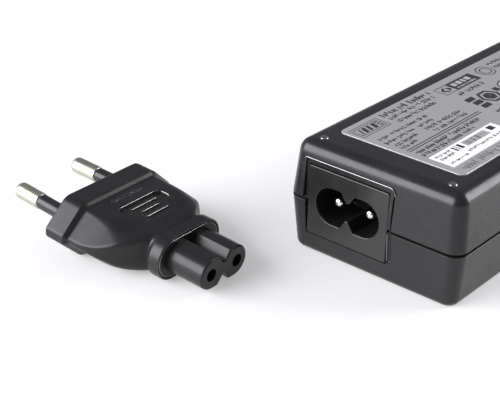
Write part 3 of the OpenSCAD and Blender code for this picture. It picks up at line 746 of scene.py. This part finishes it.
class Print:
    """Collects flat marks for one thin printed layer, in millimetres. x runs from the inlet end, y across."""

    def __init__(self, z):
        self.z = z
        self.verts = []
        self.faces = []

    def polygon(self, points):
        n, base = len(points), len(self.verts)
        for z in (self.z, self.z + INK_H):
            self.verts += [(END_X + x * MM, y * MM, z) for x, y in points]
        self.faces.append(tuple(base + k for k in reversed(range(n))))
        self.faces.append(tuple(base + n + k for k in range(n)))
        for k in range(n):
            m = (k + 1) % n
            self.faces.append((base + k, base + m, base + n + m, base + n + k))

    def bar(self, x0, y0, x1, y1):
        self.polygon([(x0, y0), (x1, y0), (x1, y1), (x0, y1)])

    def box_line(self, x0, y0, x1, y1, t):
        self.bar(x0, y0, x1, y0 + t)
        self.bar(x0, y1 - t, x1, y1)
        self.bar(x0, y0 + t, x0 + t, y1 - t)
        self.bar(x1 - t, y0 + t, x1, y1 - t)

    def ring(self, cx, cy, r, t, steps=40):
        outer = arc(cx, cy, r, 0, 360, steps)
        inner = arc(cx, cy, r - t, 0, 360, steps)
        for k in range(steps):
            self.polygon([outer[k], outer[k + 1], inner[k + 1], inner[k]])

    def words(self, rng, x0, x1, y, h, weight=0.62):
        """A row of plain blocks and ticks in word-sized groups, with no letters in it."""
        x = x0
        while x < x1:
            for _ in range(rng.randint(2, 7)):
                w = h * rng.uniform(0.36, 0.6)
                if x + w > x1:
                    return
                low = y + h * rng.choice((0, 0, 0, 0.3, 0.45))
                high = y + h * rng.choice((1, 0.75, 0.75, 1))
                if rng.random() < weight:
                    self.bar(x, low, x + w * 0.6, high)
                    if rng.random() < 0.75:
                        self.bar(x + w * 0.6, y + h * 0.25, x + w, y + h * 0.6)
                else:
                    self.bar(x, y, x + w, y + h * 0.3)
                    self.bar(x, y + h * 0.55, x + w, y + h * 0.8)
                x += w + h * 0.11
            x += h * rng.uniform(0.25, 0.5)

    def finish(self, name, material, slot):
        dress(new_object(name, self.verts, self.faces), material, slot, "adapter")


def skewed(page, x0, y0, x1, y1, lean):
    """Block between two heights whose top is pushed sideways, as in a slanted emblem."""
    page.polygon([(x0, y0), (x1, y0), (x1 + lean, y1), (x0 + lean, y1)])


def emblem(ink):
    """Plain framed emblem: two nested frames round a row of slanted blocks."""
    ink.box_line(10.7, 10.1, 21.2, 14.8, 0.2)
    ink.box_line(11.4, 10.8, 20.5, 14.1, 0.2)
    skewed(ink, 12.2, 11.3, 12.7, 13.6, 0.7)
    for k, w in enumerate((1.15, 0.95, 1.2)):
        x = 13.4 + 1.75 * k
        skewed(ink, x, 11.3, x + w, 13.6, 0.6)
    for y in (11.4, 12.3, 13.2):
        ink.bar(18.9, y, 20.1, y + 0.4)


def symbols(ink):
    """Plain symbols: a stack of slanted blocks, a hexagon with a solid core and two square tiles."""
    for y in (-1.0, 1.3, 3.6):
        skewed(ink, 43.9, y, 47.1, y + 1.75, 0.35)
    ink.ring(51.0, 2.2, 3.4, 0.8, 6)
    ink.ring(51.0, 2.2, 1.9, 1.7, 6)
    for y in (0.1, 2.5):
        ink.bar(54.9, y, 56.7, y + 1.8)


def label_print():
    rng = random.Random(5)
    ink, grey = Print(TOP), Print(TOP)
    emblem(ink)
    ink.words(rng, 23.0, 42.8, 13.3, 2.0, 0.95)
    for x0, x1, y, h in ((23.1, 41.8, 11.3, 1.45), (23.4, 40.2, 9.1, 1.5), (11.8, 31.4, 6.4, 1.35),
                         (11.4, 22.8, 4.1, 1.4), (24.0, 29.8, 4.1, 1.3), (12.2, 20.8, 2.1, 1.35),
                         (24.2, 39.6, 2.1, 1.35), (11.8, 18.2, 0.2, 1.3), (24.8, 38.4, 0.2, 1.3)):
        ink.words(rng, x0, x1, y, h, 0.85)
    for y in (-0.8, -1.6):
        ink.bar(11.6, y, 41.0, y + 0.3)
    for x1, y in ((39.0, -3.6), (33.0, -5.4)):
        ink.words(rng, 12.0, x1, y, 1.4, 0.95)
    grey.words(rng, 12.6, 88.0, -15.6, 2.1, 0.97)
    ink.bar(49.2, 9.8, 59.6, 14.0)
    ink.box_line(44.1, 9.8, 49.2, 14.0, 0.22)
    ink.polygon([(44.9, 11.9), (46.6, 10.5), (47.1, 10.9), (45.9, 11.9), (47.1, 12.9), (46.6, 13.3)])
    ink.polygon([(47.4, 10.7), (48.7, 11.9), (47.4, 13.1)])
    ink.words(rng, 46.4, 57.4, 7.3, 1.5, 0.85)
    symbols(ink)
    ink.ring(60.6, 2.2, 3.4, 0.3)
    for y in (1.0, 2.9):
        ink.bar(59.4, y, 61.8, y + 0.5)
    ink.ring(64.2, 11.6, 2.7, 0.3)
    ink.ring(64.2, 11.6, 1.7, 0.3)
    for k in range(6):
        ink.words(rng, 68.0, 94.0 - 2.0 * (k % 3), 12.8 - 2.1 * k, 1.3, 0.85)
    for k in range(4):
        x = 64.0 + 7.6 * k
        grey.bar(x, -9.6, x + 6.0, -4.4)
        ink.box_line(x, -9.6, x + 6.0, -4.4, 0.25)
    for x1, y in ((60.0, -4.4), (58.0, -6.6), (61.0, -8.8)):
        ink.words(rng, 44.0, x1, y, 1.3)
    ink.bar(42.6, -11.2, 95.0, -11.0)
    ink.finish("label_ink", INK, "label_film")
    grey.finish("label_grey_ink", INK_GREY, "label_film")
    pale = Print(TOP + INK_H)
    for x0, x1 in ((50.2, 51.6), (52.2, 53.8), (54.4, 55.4), (56.0, 57.6)):
        pale.bar(x0, 11.6, x1, 13.2)
    pale.words(rng, 50.0, 58.6, 10.3, 0.8)
    pale.finish("label_knockout", INK_PALE, "label_film")


def label_sheet():
    """Silver film with a rounded edge that stands just clear of its shallow pocket."""
    hx, hy = (label_hi.x - label_lo.x) / 2, (label_hi.y - label_lo.y) / 2
    r = min(0.16 * MM, label_hi.z - label_lo.z)
    profile = [(0, label_lo.z)] + [(inset, label_hi.z - down) for down, inset in reversed(rounding(r, 6))]
    rings = [level_ring(hx - inset, hy - inset, LABEL_R - inset, z) for inset, z in profile]
    return smooth(loft("label_sheet", rings), 50)


def sticker_print():
    rng = random.Random(11)
    lo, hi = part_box("serial_sticker")
    x0 = (lo.x - END_X) / MM
    y0, y1 = lo.y / MM, hi.y / MM
    ink, grey = Print(hi.z), Print(hi.z)
    for y in (y1 - 1.7, y1 - 3.1):
        ink.words(rng, x0 + 0.8, x0 + 6.4, y, 0.95, 0.8)
    for left, right in ((7.2, 7.8), (8.3, 8.6), (9.2, 10.2)):
        ink.bar(x0 + left, y1 - 2.8, x0 + right, y1 - 0.7)
    grey.bar(x0 + 11.2, y1 - 3.0, x0 + 20.6, y1 - 0.8)
    x = x0 + 11.4
    while x < x0 + 20.2:
        w = rng.choice((0.12, 0.2, 0.34))
        ink.bar(x, y1 - 2.8, x + w, y1 - 1.0)
        x += w + rng.choice((0.28, 0.4, 0.7))
    ink.bar(x0 + 21.8, y1 - 2.4, x0 + 23.8, y1 - 0.6)
    ink.words(rng, x0 + 0.9, x0 + 8.0, y0 + 1.0, 0.8, 0.8)
    ink.words(rng, x0 + 9.0, x0 + 24.4, y0 + 1.7, 0.85, 0.8)
    ink.finish("sticker_ink", INK, "sticker_paper")
    grey.finish("sticker_grey_ink", INK_PALE, "sticker_paper")


# ---------------------------------------------------------------- the plug piece


def smooth_max(a, b, k):
    h = max(k - abs(a - b), 0.0) / k
    return max(a, b) + h * h * k / 4


def quadrant_marks():
    """Directions of a section's points from the middle of its top to the middle of its side."""
    stations = ((0, 1), (0.55, 1), (0.66, 0.97), (0.76, 0.74), (0.94, 0.3), (1, 0.12), (1, 0))
    marks = []
    for (v0, w0), (v1, w1), n in zip(stations, stations[1:], (12, 6, 8, 8, 7, 3)):
        marks += [(v0 + (v1 - v0) * i / n, w0 + (w1 - w0) * i / n) for i in range(n)]
    return marks + [stations[-1]]


MARKS = quadrant_marks()


def section(half, rise, distance):
    """One quadrant of a section, where each mark's ray meets distance(v, w) = 0."""
    points = []
    for mv, mw in MARKS:
        v, w = mv * half, mw * rise
        low, high = 0.3, 1.6
        for _ in range(26):
            t = (low + high) / 2
            if distance(v * t, w * t) > 0:
                high = t
            else:
                low = t
        points.append((v * low, w * low))
    return points


def facet_plane(v0, w0, v1, w1):
    n = Vector((w0 - w1, v1 - v0)).normalized()
    return (n.x, n.y, n.x * v0 + n.y * w0)


def hexagon(half, rise, plane, inset, ridge, corner):
    """Section of the flange and body: flat top and side joined by a slanting facet, all rounded."""
    nv, nw, d = plane

    def distance(v, w):
        top = smooth_max(w - rise + inset, nv * v + nw * w - d + inset, ridge)
        return smooth_max(top, v - half + inset, corner)

    return section(half - inset, rise - inset, distance)


def racetrack(half, rise, r, inset=0.0):
    def distance(v, w):
        qv, qw = v - (half - r), w - (rise - r)
        return math.hypot(max(qv, 0), max(qw, 0)) + min(max(qv, qw), 0) - r + inset

    return section(half - inset, rise - inset, distance)


def blend(ring_a, ring_b, t):
    return [(a[0] + (b[0] - a[0]) * t, a[1] + (b[1] - a[1]) * t) for a, b in zip(ring_a, ring_b)]


def whole_section(quadrant):
    points = list(quadrant) + [(v, -w) for v, w in reversed(quadrant[:-1])]
    return points + [(-v, -w) for v, w in quadrant[1:]] + [(-v, w) for v, w in reversed(quadrant[1:-1])]


def plug_ring(u, quadrant):
    return [PLUG @ Vector((u, v, w)) for v, w in whole_section(quadrant)]


def ease(x, x0, x1):
    t = min(max((x - x0) / (x1 - x0), 0.0), 1.0)
    return t * t * (3 - 2 * t)


FLANGE_PLANE = facet_plane(11.5 * MM, FLANGE_RISE, FLANGE_HALF, 1.0 * MM)
BODY_PLANE = facet_plane(10.9 * MM, BODY_RISE, BODY_HALF, 0.6 * MM)
FLANGE_RIDGE = 0.95 * MM
FLANGE_CORNER = 0.3 * MM
FLANGE_SLOPE = 1.0 * MM


def flange_section(inset=0.0):
    return hexagon(FLANGE_HALF, FLANGE_RISE, FLANGE_PLANE, inset, FLANGE_RIDGE, FLANGE_CORNER)


def body_rise(u):
    """Height of the body's flat faces above the plug's axis at u."""
    return BODY_RISE - 0.95 * MM * ease(u, 13 * MM, 24.5 * MM)


def body_section(u):
    """Section of the shoulders at u: the plan narrows on an arc, and the edges grow rounder to the neck."""
    along = min(max(u - BODY_ARC_U, 0.0), BODY_ARC_R * 0.999)
    half = BODY_HALF - BODY_ARC_R + math.sqrt(BODY_ARC_R**2 - along**2)
    half = smooth_max(half, NECK_HALF, 1.6 * MM)
    nv, nw, d = BODY_PLANE
    tilt = max(u - 11 * MM, 0.0)
    d -= 10.0 * tilt * tilt
    ridge = (0.6 + 0.5 * ease(u, 8 * MM, 13 * MM) + 3.0 * ease(u, 12 * MM, 22 * MM)) * MM
    corner = (0.22 + 0.3 * ease(u, 13 * MM, 17 * MM) + 2.6 * ease(u, 17 * MM, 23 * MM)) * MM
    return hexagon(half, body_rise(u), (nv, nw, d), 0.0, ridge, corner)


def collar_section(inset=0.0):
    return racetrack(COLLAR_HALF, COLLAR_RISE, COLLAR_RISE - 0.02 * MM, inset)


def plug_skin():
    rings = []

    def add(u, quadrant):
        rings.append(plug_ring(u, quadrant))

    for du, inset in rounding(0.5 * MM, 5):
        add(du, flange_section(inset))
    slope_u = FLANGE_D - FLANGE_SLOPE
    add(slope_u / 2, flange_section())
    add(slope_u - 0.12 * MM, flange_section())
    add(slope_u - 0.03 * MM, flange_section(0.015 * MM))
    for t in (0.1, 0.27, 0.5, 0.75, 0.93):
        add(slope_u + t * FLANGE_SLOPE, blend(flange_section(), body_section(FLANGE_D), t))
    add(FLANGE_D + 0.1 * MM, body_section(FLANGE_D))
    u = FLANGE_D + 0.6 * MM
    neck = COLLAR_BACK - 2.6 * MM
    while u < neck:
        add(u, body_section(u))
        u += 0.45 * MM
    back = collar_section(0.45 * MM)
    steps = 16
    for i in range(steps + 1):
        t = i / steps
        u = neck + (COLLAR_BACK - neck) * t
        add(u, blend(body_section(u), back, t**3))
    for du, inset in rounding(0.45 * MM, 4)[1:]:
        add(COLLAR_BACK + du, collar_section(inset))
    for du, inset in reversed(rounding(0.16 * MM, 4)):
        add(COLLAR_FRONT - du, collar_section(inset))
    groove = ((0.36, 0), (0.42, -0.04), (0.46, -0.5), (0.64, -0.5), (0.68, -0.1), (0.74, -0.03), (0.86, 0),
              (1.6, 0), (2.6, 0))
    for inset, du in groove:
        add(COLLAR_FRONT + du * MM, collar_section(inset * MM))
    return loft("plug_skin", rings)


GRIP_DEEP = 0.6 * MM
GRIP_OUTLINE = ((11.4, -6.8), (14.6, -7.0), (20.4, -4.7), (20.4, 4.7), (14.6, 7.0), (11.4, 6.8))
GRIP_RADII = (2.0, 3.0, 2.6, 2.6, 3.0, 2.0)
RIBS = ((13.2, 4.15), (15.35, 2.8), (17.5, 3.45))
RIB_HALF = 0.42
MARK_U = 8.5
MARK_HEIGHTS = (0.45, 0.75, 0.75)
MARK_PLACES = [-5.4 + 0.68 * k for k in range(15) if k != 7]


def plug_level(outline, w):
    """Points of an outline in (u, v) millimetres, at height w on the plug's axes."""
    return [PLUG @ Vector((u * MM, v * MM, w)) for u, v in outline]


def prism_w(name, outline, levels):
    """Pushes an outline in (u, v) millimetres along w through (height, inset scale) levels."""
    cu = sum(p[0] for p in outline) / len(outline)
    cv = sum(p[1] for p in outline) / len(outline)
    rings = []
    for w, grow in levels:
        ring = []
        for u, v in outline:
            k = 1 + grow / math.hypot(u - cu, v - cv)
            ring.append((cu + (u - cu) * k, cv + (v - cv) * k))
        rings.append(plug_level(ring, w))
    return loft(name, rings)


def stadium(u, half_v, r, steps=8):
    points = arc(u, half_v - r, r, 0, 180, steps)
    return points + arc(u, -half_v + r, r, 180, 360, steps)


def grip_rib(side, u, half_v):
    """Round-topped rib that stands on the floor of the grip recess."""
    top = BODY_RISE - 0.14 * MM
    levels = [(BODY_RISE - GRIP_DEEP - 0.4 * MM, 0), (top - RIB_HALF * MM, 0)]
    for t in (15, 30, 45, 60, 75, 86):
        a = math.radians(t)
        levels.append((top - RIB_HALF * MM * (1 - math.sin(a)), -RIB_HALF * (1 - math.cos(a))))
    return loft("rib", [plug_level(stadium(u, half_v + grow, RIB_HALF + grow), side * w)
                        for w, grow in levels])


def raised_mark(v, tall):
    """Low block on the plug's top, in a row of plain marks with no letters in it."""
    u0, u1 = MARK_U - tall, MARK_U + tall * 0.4
    outline = [(u0, v), (u1, v), (u1, v + 0.3), (u0, v + 0.3)]
    return loft("mark", [plug_level(outline, BODY_RISE + dw) for dw in (-0.2 * MM, 0.07 * MM)])


def plug_body():
    body = plug_skin()
    outline = filleted(GRIP_OUTLINE, GRIP_RADII, 8)
    levels = ((BODY_RISE - GRIP_DEEP, -0.1), (BODY_RISE + 0.5 * MM, 0.15))
    cut(body, *[prism_w("cut_grip", outline, [(side * w, grow) for w, grow in levels]) for side in (1, -1)])
    soften(body, 0.2 * MM, 48, 4)
    ribs = [grip_rib(side, u, half_v) for side in (1, -1) for u, half_v in RIBS]
    rng = random.Random(3)
    marks = [raised_mark(v, rng.choice(MARK_HEIGHTS)) for v in MARK_PLACES]
    return joined("plug_overmould", [body] + ribs + marks, 32)


def tube(name, path, r, closed=False, steps=10):
    """Round bead of radius r along a path of points given as (u, v, w) on the plug's axes."""
    rings = []
    count = len(path)
    for k, point in enumerate(path):
        before = path[(k - 1) % count] if closed else path[max(k - 1, 0)]
        after = path[(k + 1) % count] if closed else path[min(k + 1, count - 1)]
        along = (Vector(after) - Vector(before)).normalized()
        side = along.cross(Vector((0.31, 0.17, 0.93))).normalized()
        other = along.cross(side)
        ring = []
        for i in range(steps):
            a = 2 * math.pi * i / steps
            ring.append(PLUG @ (Vector(point) + (side * math.cos(a) + other * math.sin(a)) * r))
        rings.append(ring)
    return loft(name, rings, closed)


def plug_edges():
    """Crisp moulded edges: the collar's rims, the grip's back and sides, the ribs' ridges and the marks."""
    beads = []
    for inset, r in ((0.2, 0.12), (0.8, 0.12)):
        points = whole_section(collar_section(inset * MM))
        path = [(COLLAR_FRONT - 0.1 * MM, v, w) for v, w in points]
        beads.append(tube("edge_collar", path, r * MM, True))
    outline = filleted(GRIP_OUTLINE, GRIP_RADII, 8)
    back = sorted([p for p in outline if p[0] < 12.2], key=lambda p: p[1])
    flank = sorted([p for p in outline if p[1] > 5.6 and p[0] > 12.4], key=lambda p: p[0])
    for side in (1, -1):
        for path in (back, flank):
            line = [(u * MM, v * MM, side * (body_rise(u * MM) - 0.1 * MM)) for u, v in path]
            beads.append(tube("edge_grip", line, 0.15 * MM))
        for u, half_v in RIBS:
            reach, w = 0.94 * half_v * MM, side * (BODY_RISE - 0.26 * MM)
            line = [((u + 0.28) * MM, reach * k / 6, w) for k in range(-6, 7)]
            beads.append(tube("edge_rib", line, 0.16 * MM))
    rng = random.Random(3)
    for v in MARK_PLACES:
        tall = rng.choice(MARK_HEIGHTS)
        for u in (MARK_U + 0.4 * tall, MARK_U - rng.choice((0.2, 0.6)) * tall):
            line = [(u * MM, (v + dv) * MM, BODY_RISE + 0.05 * MM) for dv in (0, 0.1)]
            beads.append(tube("edge_mark", line, 0.075 * MM))
    return joined("plug_edge_lines", beads, 80)


def connector_nose():
    def outline(u, inset):
        shape = figure_eight(NOSE_W - 2 * inset, NOSE_H - 2 * inset, 1.9 * MM + 0.3 * inset,
                             2.3 * MM - 0.6 * inset, 0.3 * MM + 0.2 * inset)
        return [PLUG @ Vector((u, v, w)) for v, w in shape]

    rings = [outline(NOSE_ROOT, 0), outline(COLLAR_FRONT + 1 * MM, 0)]
    rings += [outline(NOSE_END - du, inset) for du, inset in reversed(rounding(0.5 * MM, 6))]
    obj = loft("connector_nose_skin", rings)
    r, length = 1.5 * MM, 13 * MM
    holes = []
    for s in (-1, 1):
        axis = PLUG @ Matrix.Translation((NOSE_END - 11 * MM, s * PIN_PITCH / 2, 0))
        holes.append(lathe("cut_socket", [(0, 0), (r, 0), (r, length), (0, length)], axis, 56))
    cut(obj, *holes)
    soften(obj, 0.1 * MM, 60, 2)
    return smooth(obj, 40)


def pin_axis(end):
    """Matrix of one wall pin: x runs along it into the flange, from the flange's outer face."""
    mount = mounts["wall_pin_" + end]
    x = -Vector(mount["axis"]).normalized()
    middle = Vector(mount["pos_m"])
    u = Vector(PLUG.col[0][:3])
    base = middle + x * ((PLUG.translation - middle).dot(u) / x.dot(u))
    up = Vector(PLUG.col[2][:3])
    y = up.cross(x).normalized()
    m = Matrix((x, y, x.cross(y))).transposed().to_4x4()
    m.translation = base
    return m


def wall_pin(name, end):
    r, stem, tip_r = 2.0 * MM, 1.6 * MM, 1.25 * MM
    start, join, inner = -WALL_PIN_L + 0.1 * MM, -SLEEVE_L, 9 * MM
    profile = [(0, start)] + arc(r - tip_r, start + tip_r, tip_r, -90, 0, 9)
    profile += [(r, join - 0.3 * MM), (r - 0.06 * MM, join - 0.1 * MM), (stem + 0.1 * MM, join),
                (stem, join + 0.1 * MM), (stem, inner), (0, inner)]
    return smooth(lathe(name, profile, pin_axis(end), 96))


def pin_sleeve(name, end):
    inner, outer = 1.62 * MM, 1.83 * MM
    start, stop = -SLEEVE_L + 0.02 * MM, 1.5 * MM
    profile = [(inner, start), (outer - 0.16 * MM, start), (outer - 0.04 * MM, start + 0.12 * MM),
               (outer, start + 0.4 * MM), (outer, stop), (inner, stop)]
    return smooth(lathe(name, profile, pin_axis(end), closed=True))


# ---------------------------------------------------------------- dressing


def dress(obj, material, slot, body, *nodes):
    obj.data.materials.clear()
    obj.data.materials.append(material)
    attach(obj, body)
    if nodes:
        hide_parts(*nodes)


def repaint(node, material):
    obj = frame["nodes"][node]
    for s in obj.material_slots:
        s.material = material
    if not obj.material_slots:
        obj.data.materials.append(material)


dress(case_upper(), CASE, "case_plastic", "adapter", "case_upper")
dress(case_lower(), CASE, "case_plastic", "adapter", "case_lower")
dress(case_pips(), CASE_EDGE, "case_plastic", "adapter")
dress(frame_bead(), CASE_EDGE, "case_plastic", "adapter")
dress(inlet_housing(), INLET, "inlet_plastic", "adapter", "inlet_housing")
for end in ENDS:
    node = "inlet_pin_" + end
    dress(inlet_pin("inlet_contact_" + end, node), TIP_METAL, "contact_nickel", "adapter", node)
dress(cable_gland(), GLAND_SKIN, "gland_rubber", "adapter", "cable_gland")
dress(plug_body(), PLUG_SKIN, "plug_plastic", "plug", "plug_body")
dress(plug_edges(), PLUG_EDGE, "plug_plastic", "plug")
dress(connector_nose(), NOSE_SKIN, "nose_plastic", "plug", "connector_nose")
for end in ENDS:
    dress(wall_pin("wall_pin_" + end, end), NICKEL, "pin_nickel", "plug", "plug_pin_" + end)
    dress(pin_sleeve("wall_sleeve_" + end, end), SLEEVE_SKIN, "sleeve_plastic", "plug", "pin_sleeve_" + end)
dress(label_sheet(), LABEL, "label_film", "adapter", "rating_label")
label_print()
sticker_print()
repaint("serial_sticker", STICKER)

# Sealed inner pieces keep their CAD shape and get the finish of what they are.
classes = {m["slot"]: m for m in record["materials"]}
METALS = ("aluminium", "brass", "chrome")
inner_finish = {}
for part in record["subparts"]:
    node = part["node"]
    obj = frame["nodes"][node]
    if obj.hide_render or node in ("rating_label", "serial_sticker"):
        continue
    name = part["material_slot"]
    if name not in inner_finish:
        m = classes[name]
        colour = tuple(m["base_color"][:3])
        if m["class"] in METALS:
            inner_finish[name] = metal("inner_" + name, colour, 0.35, (1, 1, 5))
        else:
            rough = {"gloss_plastic": 0.28, "glazed_ceramic": 0.22}.get(m["class"], 0.55)
            inner_finish[name] = moulded("inner_" + name, colour, rough, 0.1)
    repaint(node, inner_finish[name])

# ---------------------------------------------------------------- studio

AIM = Vector((-45.9 * MM, 40.4 * MM, 0))
CAMERA_TURN = 0.871
CAMERA_DIP = 0.489
CAMERA_ROLL = 0.021
CAMERA_FAR = 313.5 * MM
LENS = 92.2


def studio_floor():
    size, steps = 4.0, 8
    places = [size * (i / steps - 0.5) for i in range(steps + 1)]
    corners = [j * len(places) + i for j in range(steps) for i in range(steps)]
    faces = [(k, k + 1, k + 1 + len(places), k + len(places)) for k in corners]
    floor = new_object("studio_floor", [(x, y, 0) for y in places for x in places], faces)
    n = Nodes("floor_white")
    n.mottle(n.noise(3, 2), 0.35, 0.65, (0.6, 0.6, 0.605), (0.62, 0.62, 0.62))
    n.shade(Roughness=0.45, Specular_IOR_Level=0.2, Emission_Color=(1, 1, 1, 1), Emission_Strength=0.34)
    floor.data.materials.append(n.material)


def softbox(name, toward, distance, width, height, radiance, target):
    """Area light of a given radiance, facing the target from a direction."""
    light = bpy.data.lights.new(name, "AREA")
    light.shape = "RECTANGLE"
    light.size = width
    light.size_y = height
    light.energy = radiance * math.pi * width * height
    light.color = (1.0, 0.975, 1.01)
    obj = placed(name, light)
    obj.location = target + toward * distance
    obj.rotation_euler = toward.to_track_quat("Z", "Y").to_euler()


def heading(azimuth, elevation):
    """Unit vector towards an azimuth, counted from +X, and an elevation, in degrees."""
    a, e = math.radians(azimuth), math.radians(elevation)
    return Vector((math.cos(a) * math.cos(e), math.sin(a) * math.cos(e), math.sin(e)))


def camera():
    data = bpy.data.cameras.new("camera")
    data.lens = LENS
    data.sensor_width = 36
    data.clip_start = 0.01
    cam = placed("camera", data)
    flat = math.cos(CAMERA_DIP)
    forward = Vector((math.sin(CAMERA_TURN) * flat, math.cos(CAMERA_TURN) * flat, -math.sin(CAMERA_DIP)))
    right = Vector((math.cos(CAMERA_TURN), -math.sin(CAMERA_TURN), 0))
    up = right.cross(forward)
    c, s = math.cos(CAMERA_ROLL), math.sin(CAMERA_ROLL)
    right, up = right * c + up * s, up * c - right * s
    turn = Matrix((right, up, -forward)).transposed().to_4x4()
    cam.matrix_world = Matrix.Translation(AIM - forward * CAMERA_FAR) @ turn
    bpy.context.scene.camera = cam


studio_floor()
camera()
middle = Vector((-40 * MM, 10 * MM, 10 * MM))
softbox("soft_left", heading(148, 23), 0.9, 0.95, 0.66, 9.0, middle)
softbox("soft_right", heading(-38, 22), 0.9, 0.5, 0.6, 8.6, middle)

world = bpy.data.worlds.new("studio")
bpy.context.scene.world = world
world.use_nodes = True
background = world.node_tree.nodes["Background"]
background.inputs["Color"].default_value = (0.92, 0.94, 1.0, 1)
background.inputs["Strength"].default_value = 0.3
bpy.context.scene.view_settings.view_transform = "Standard"
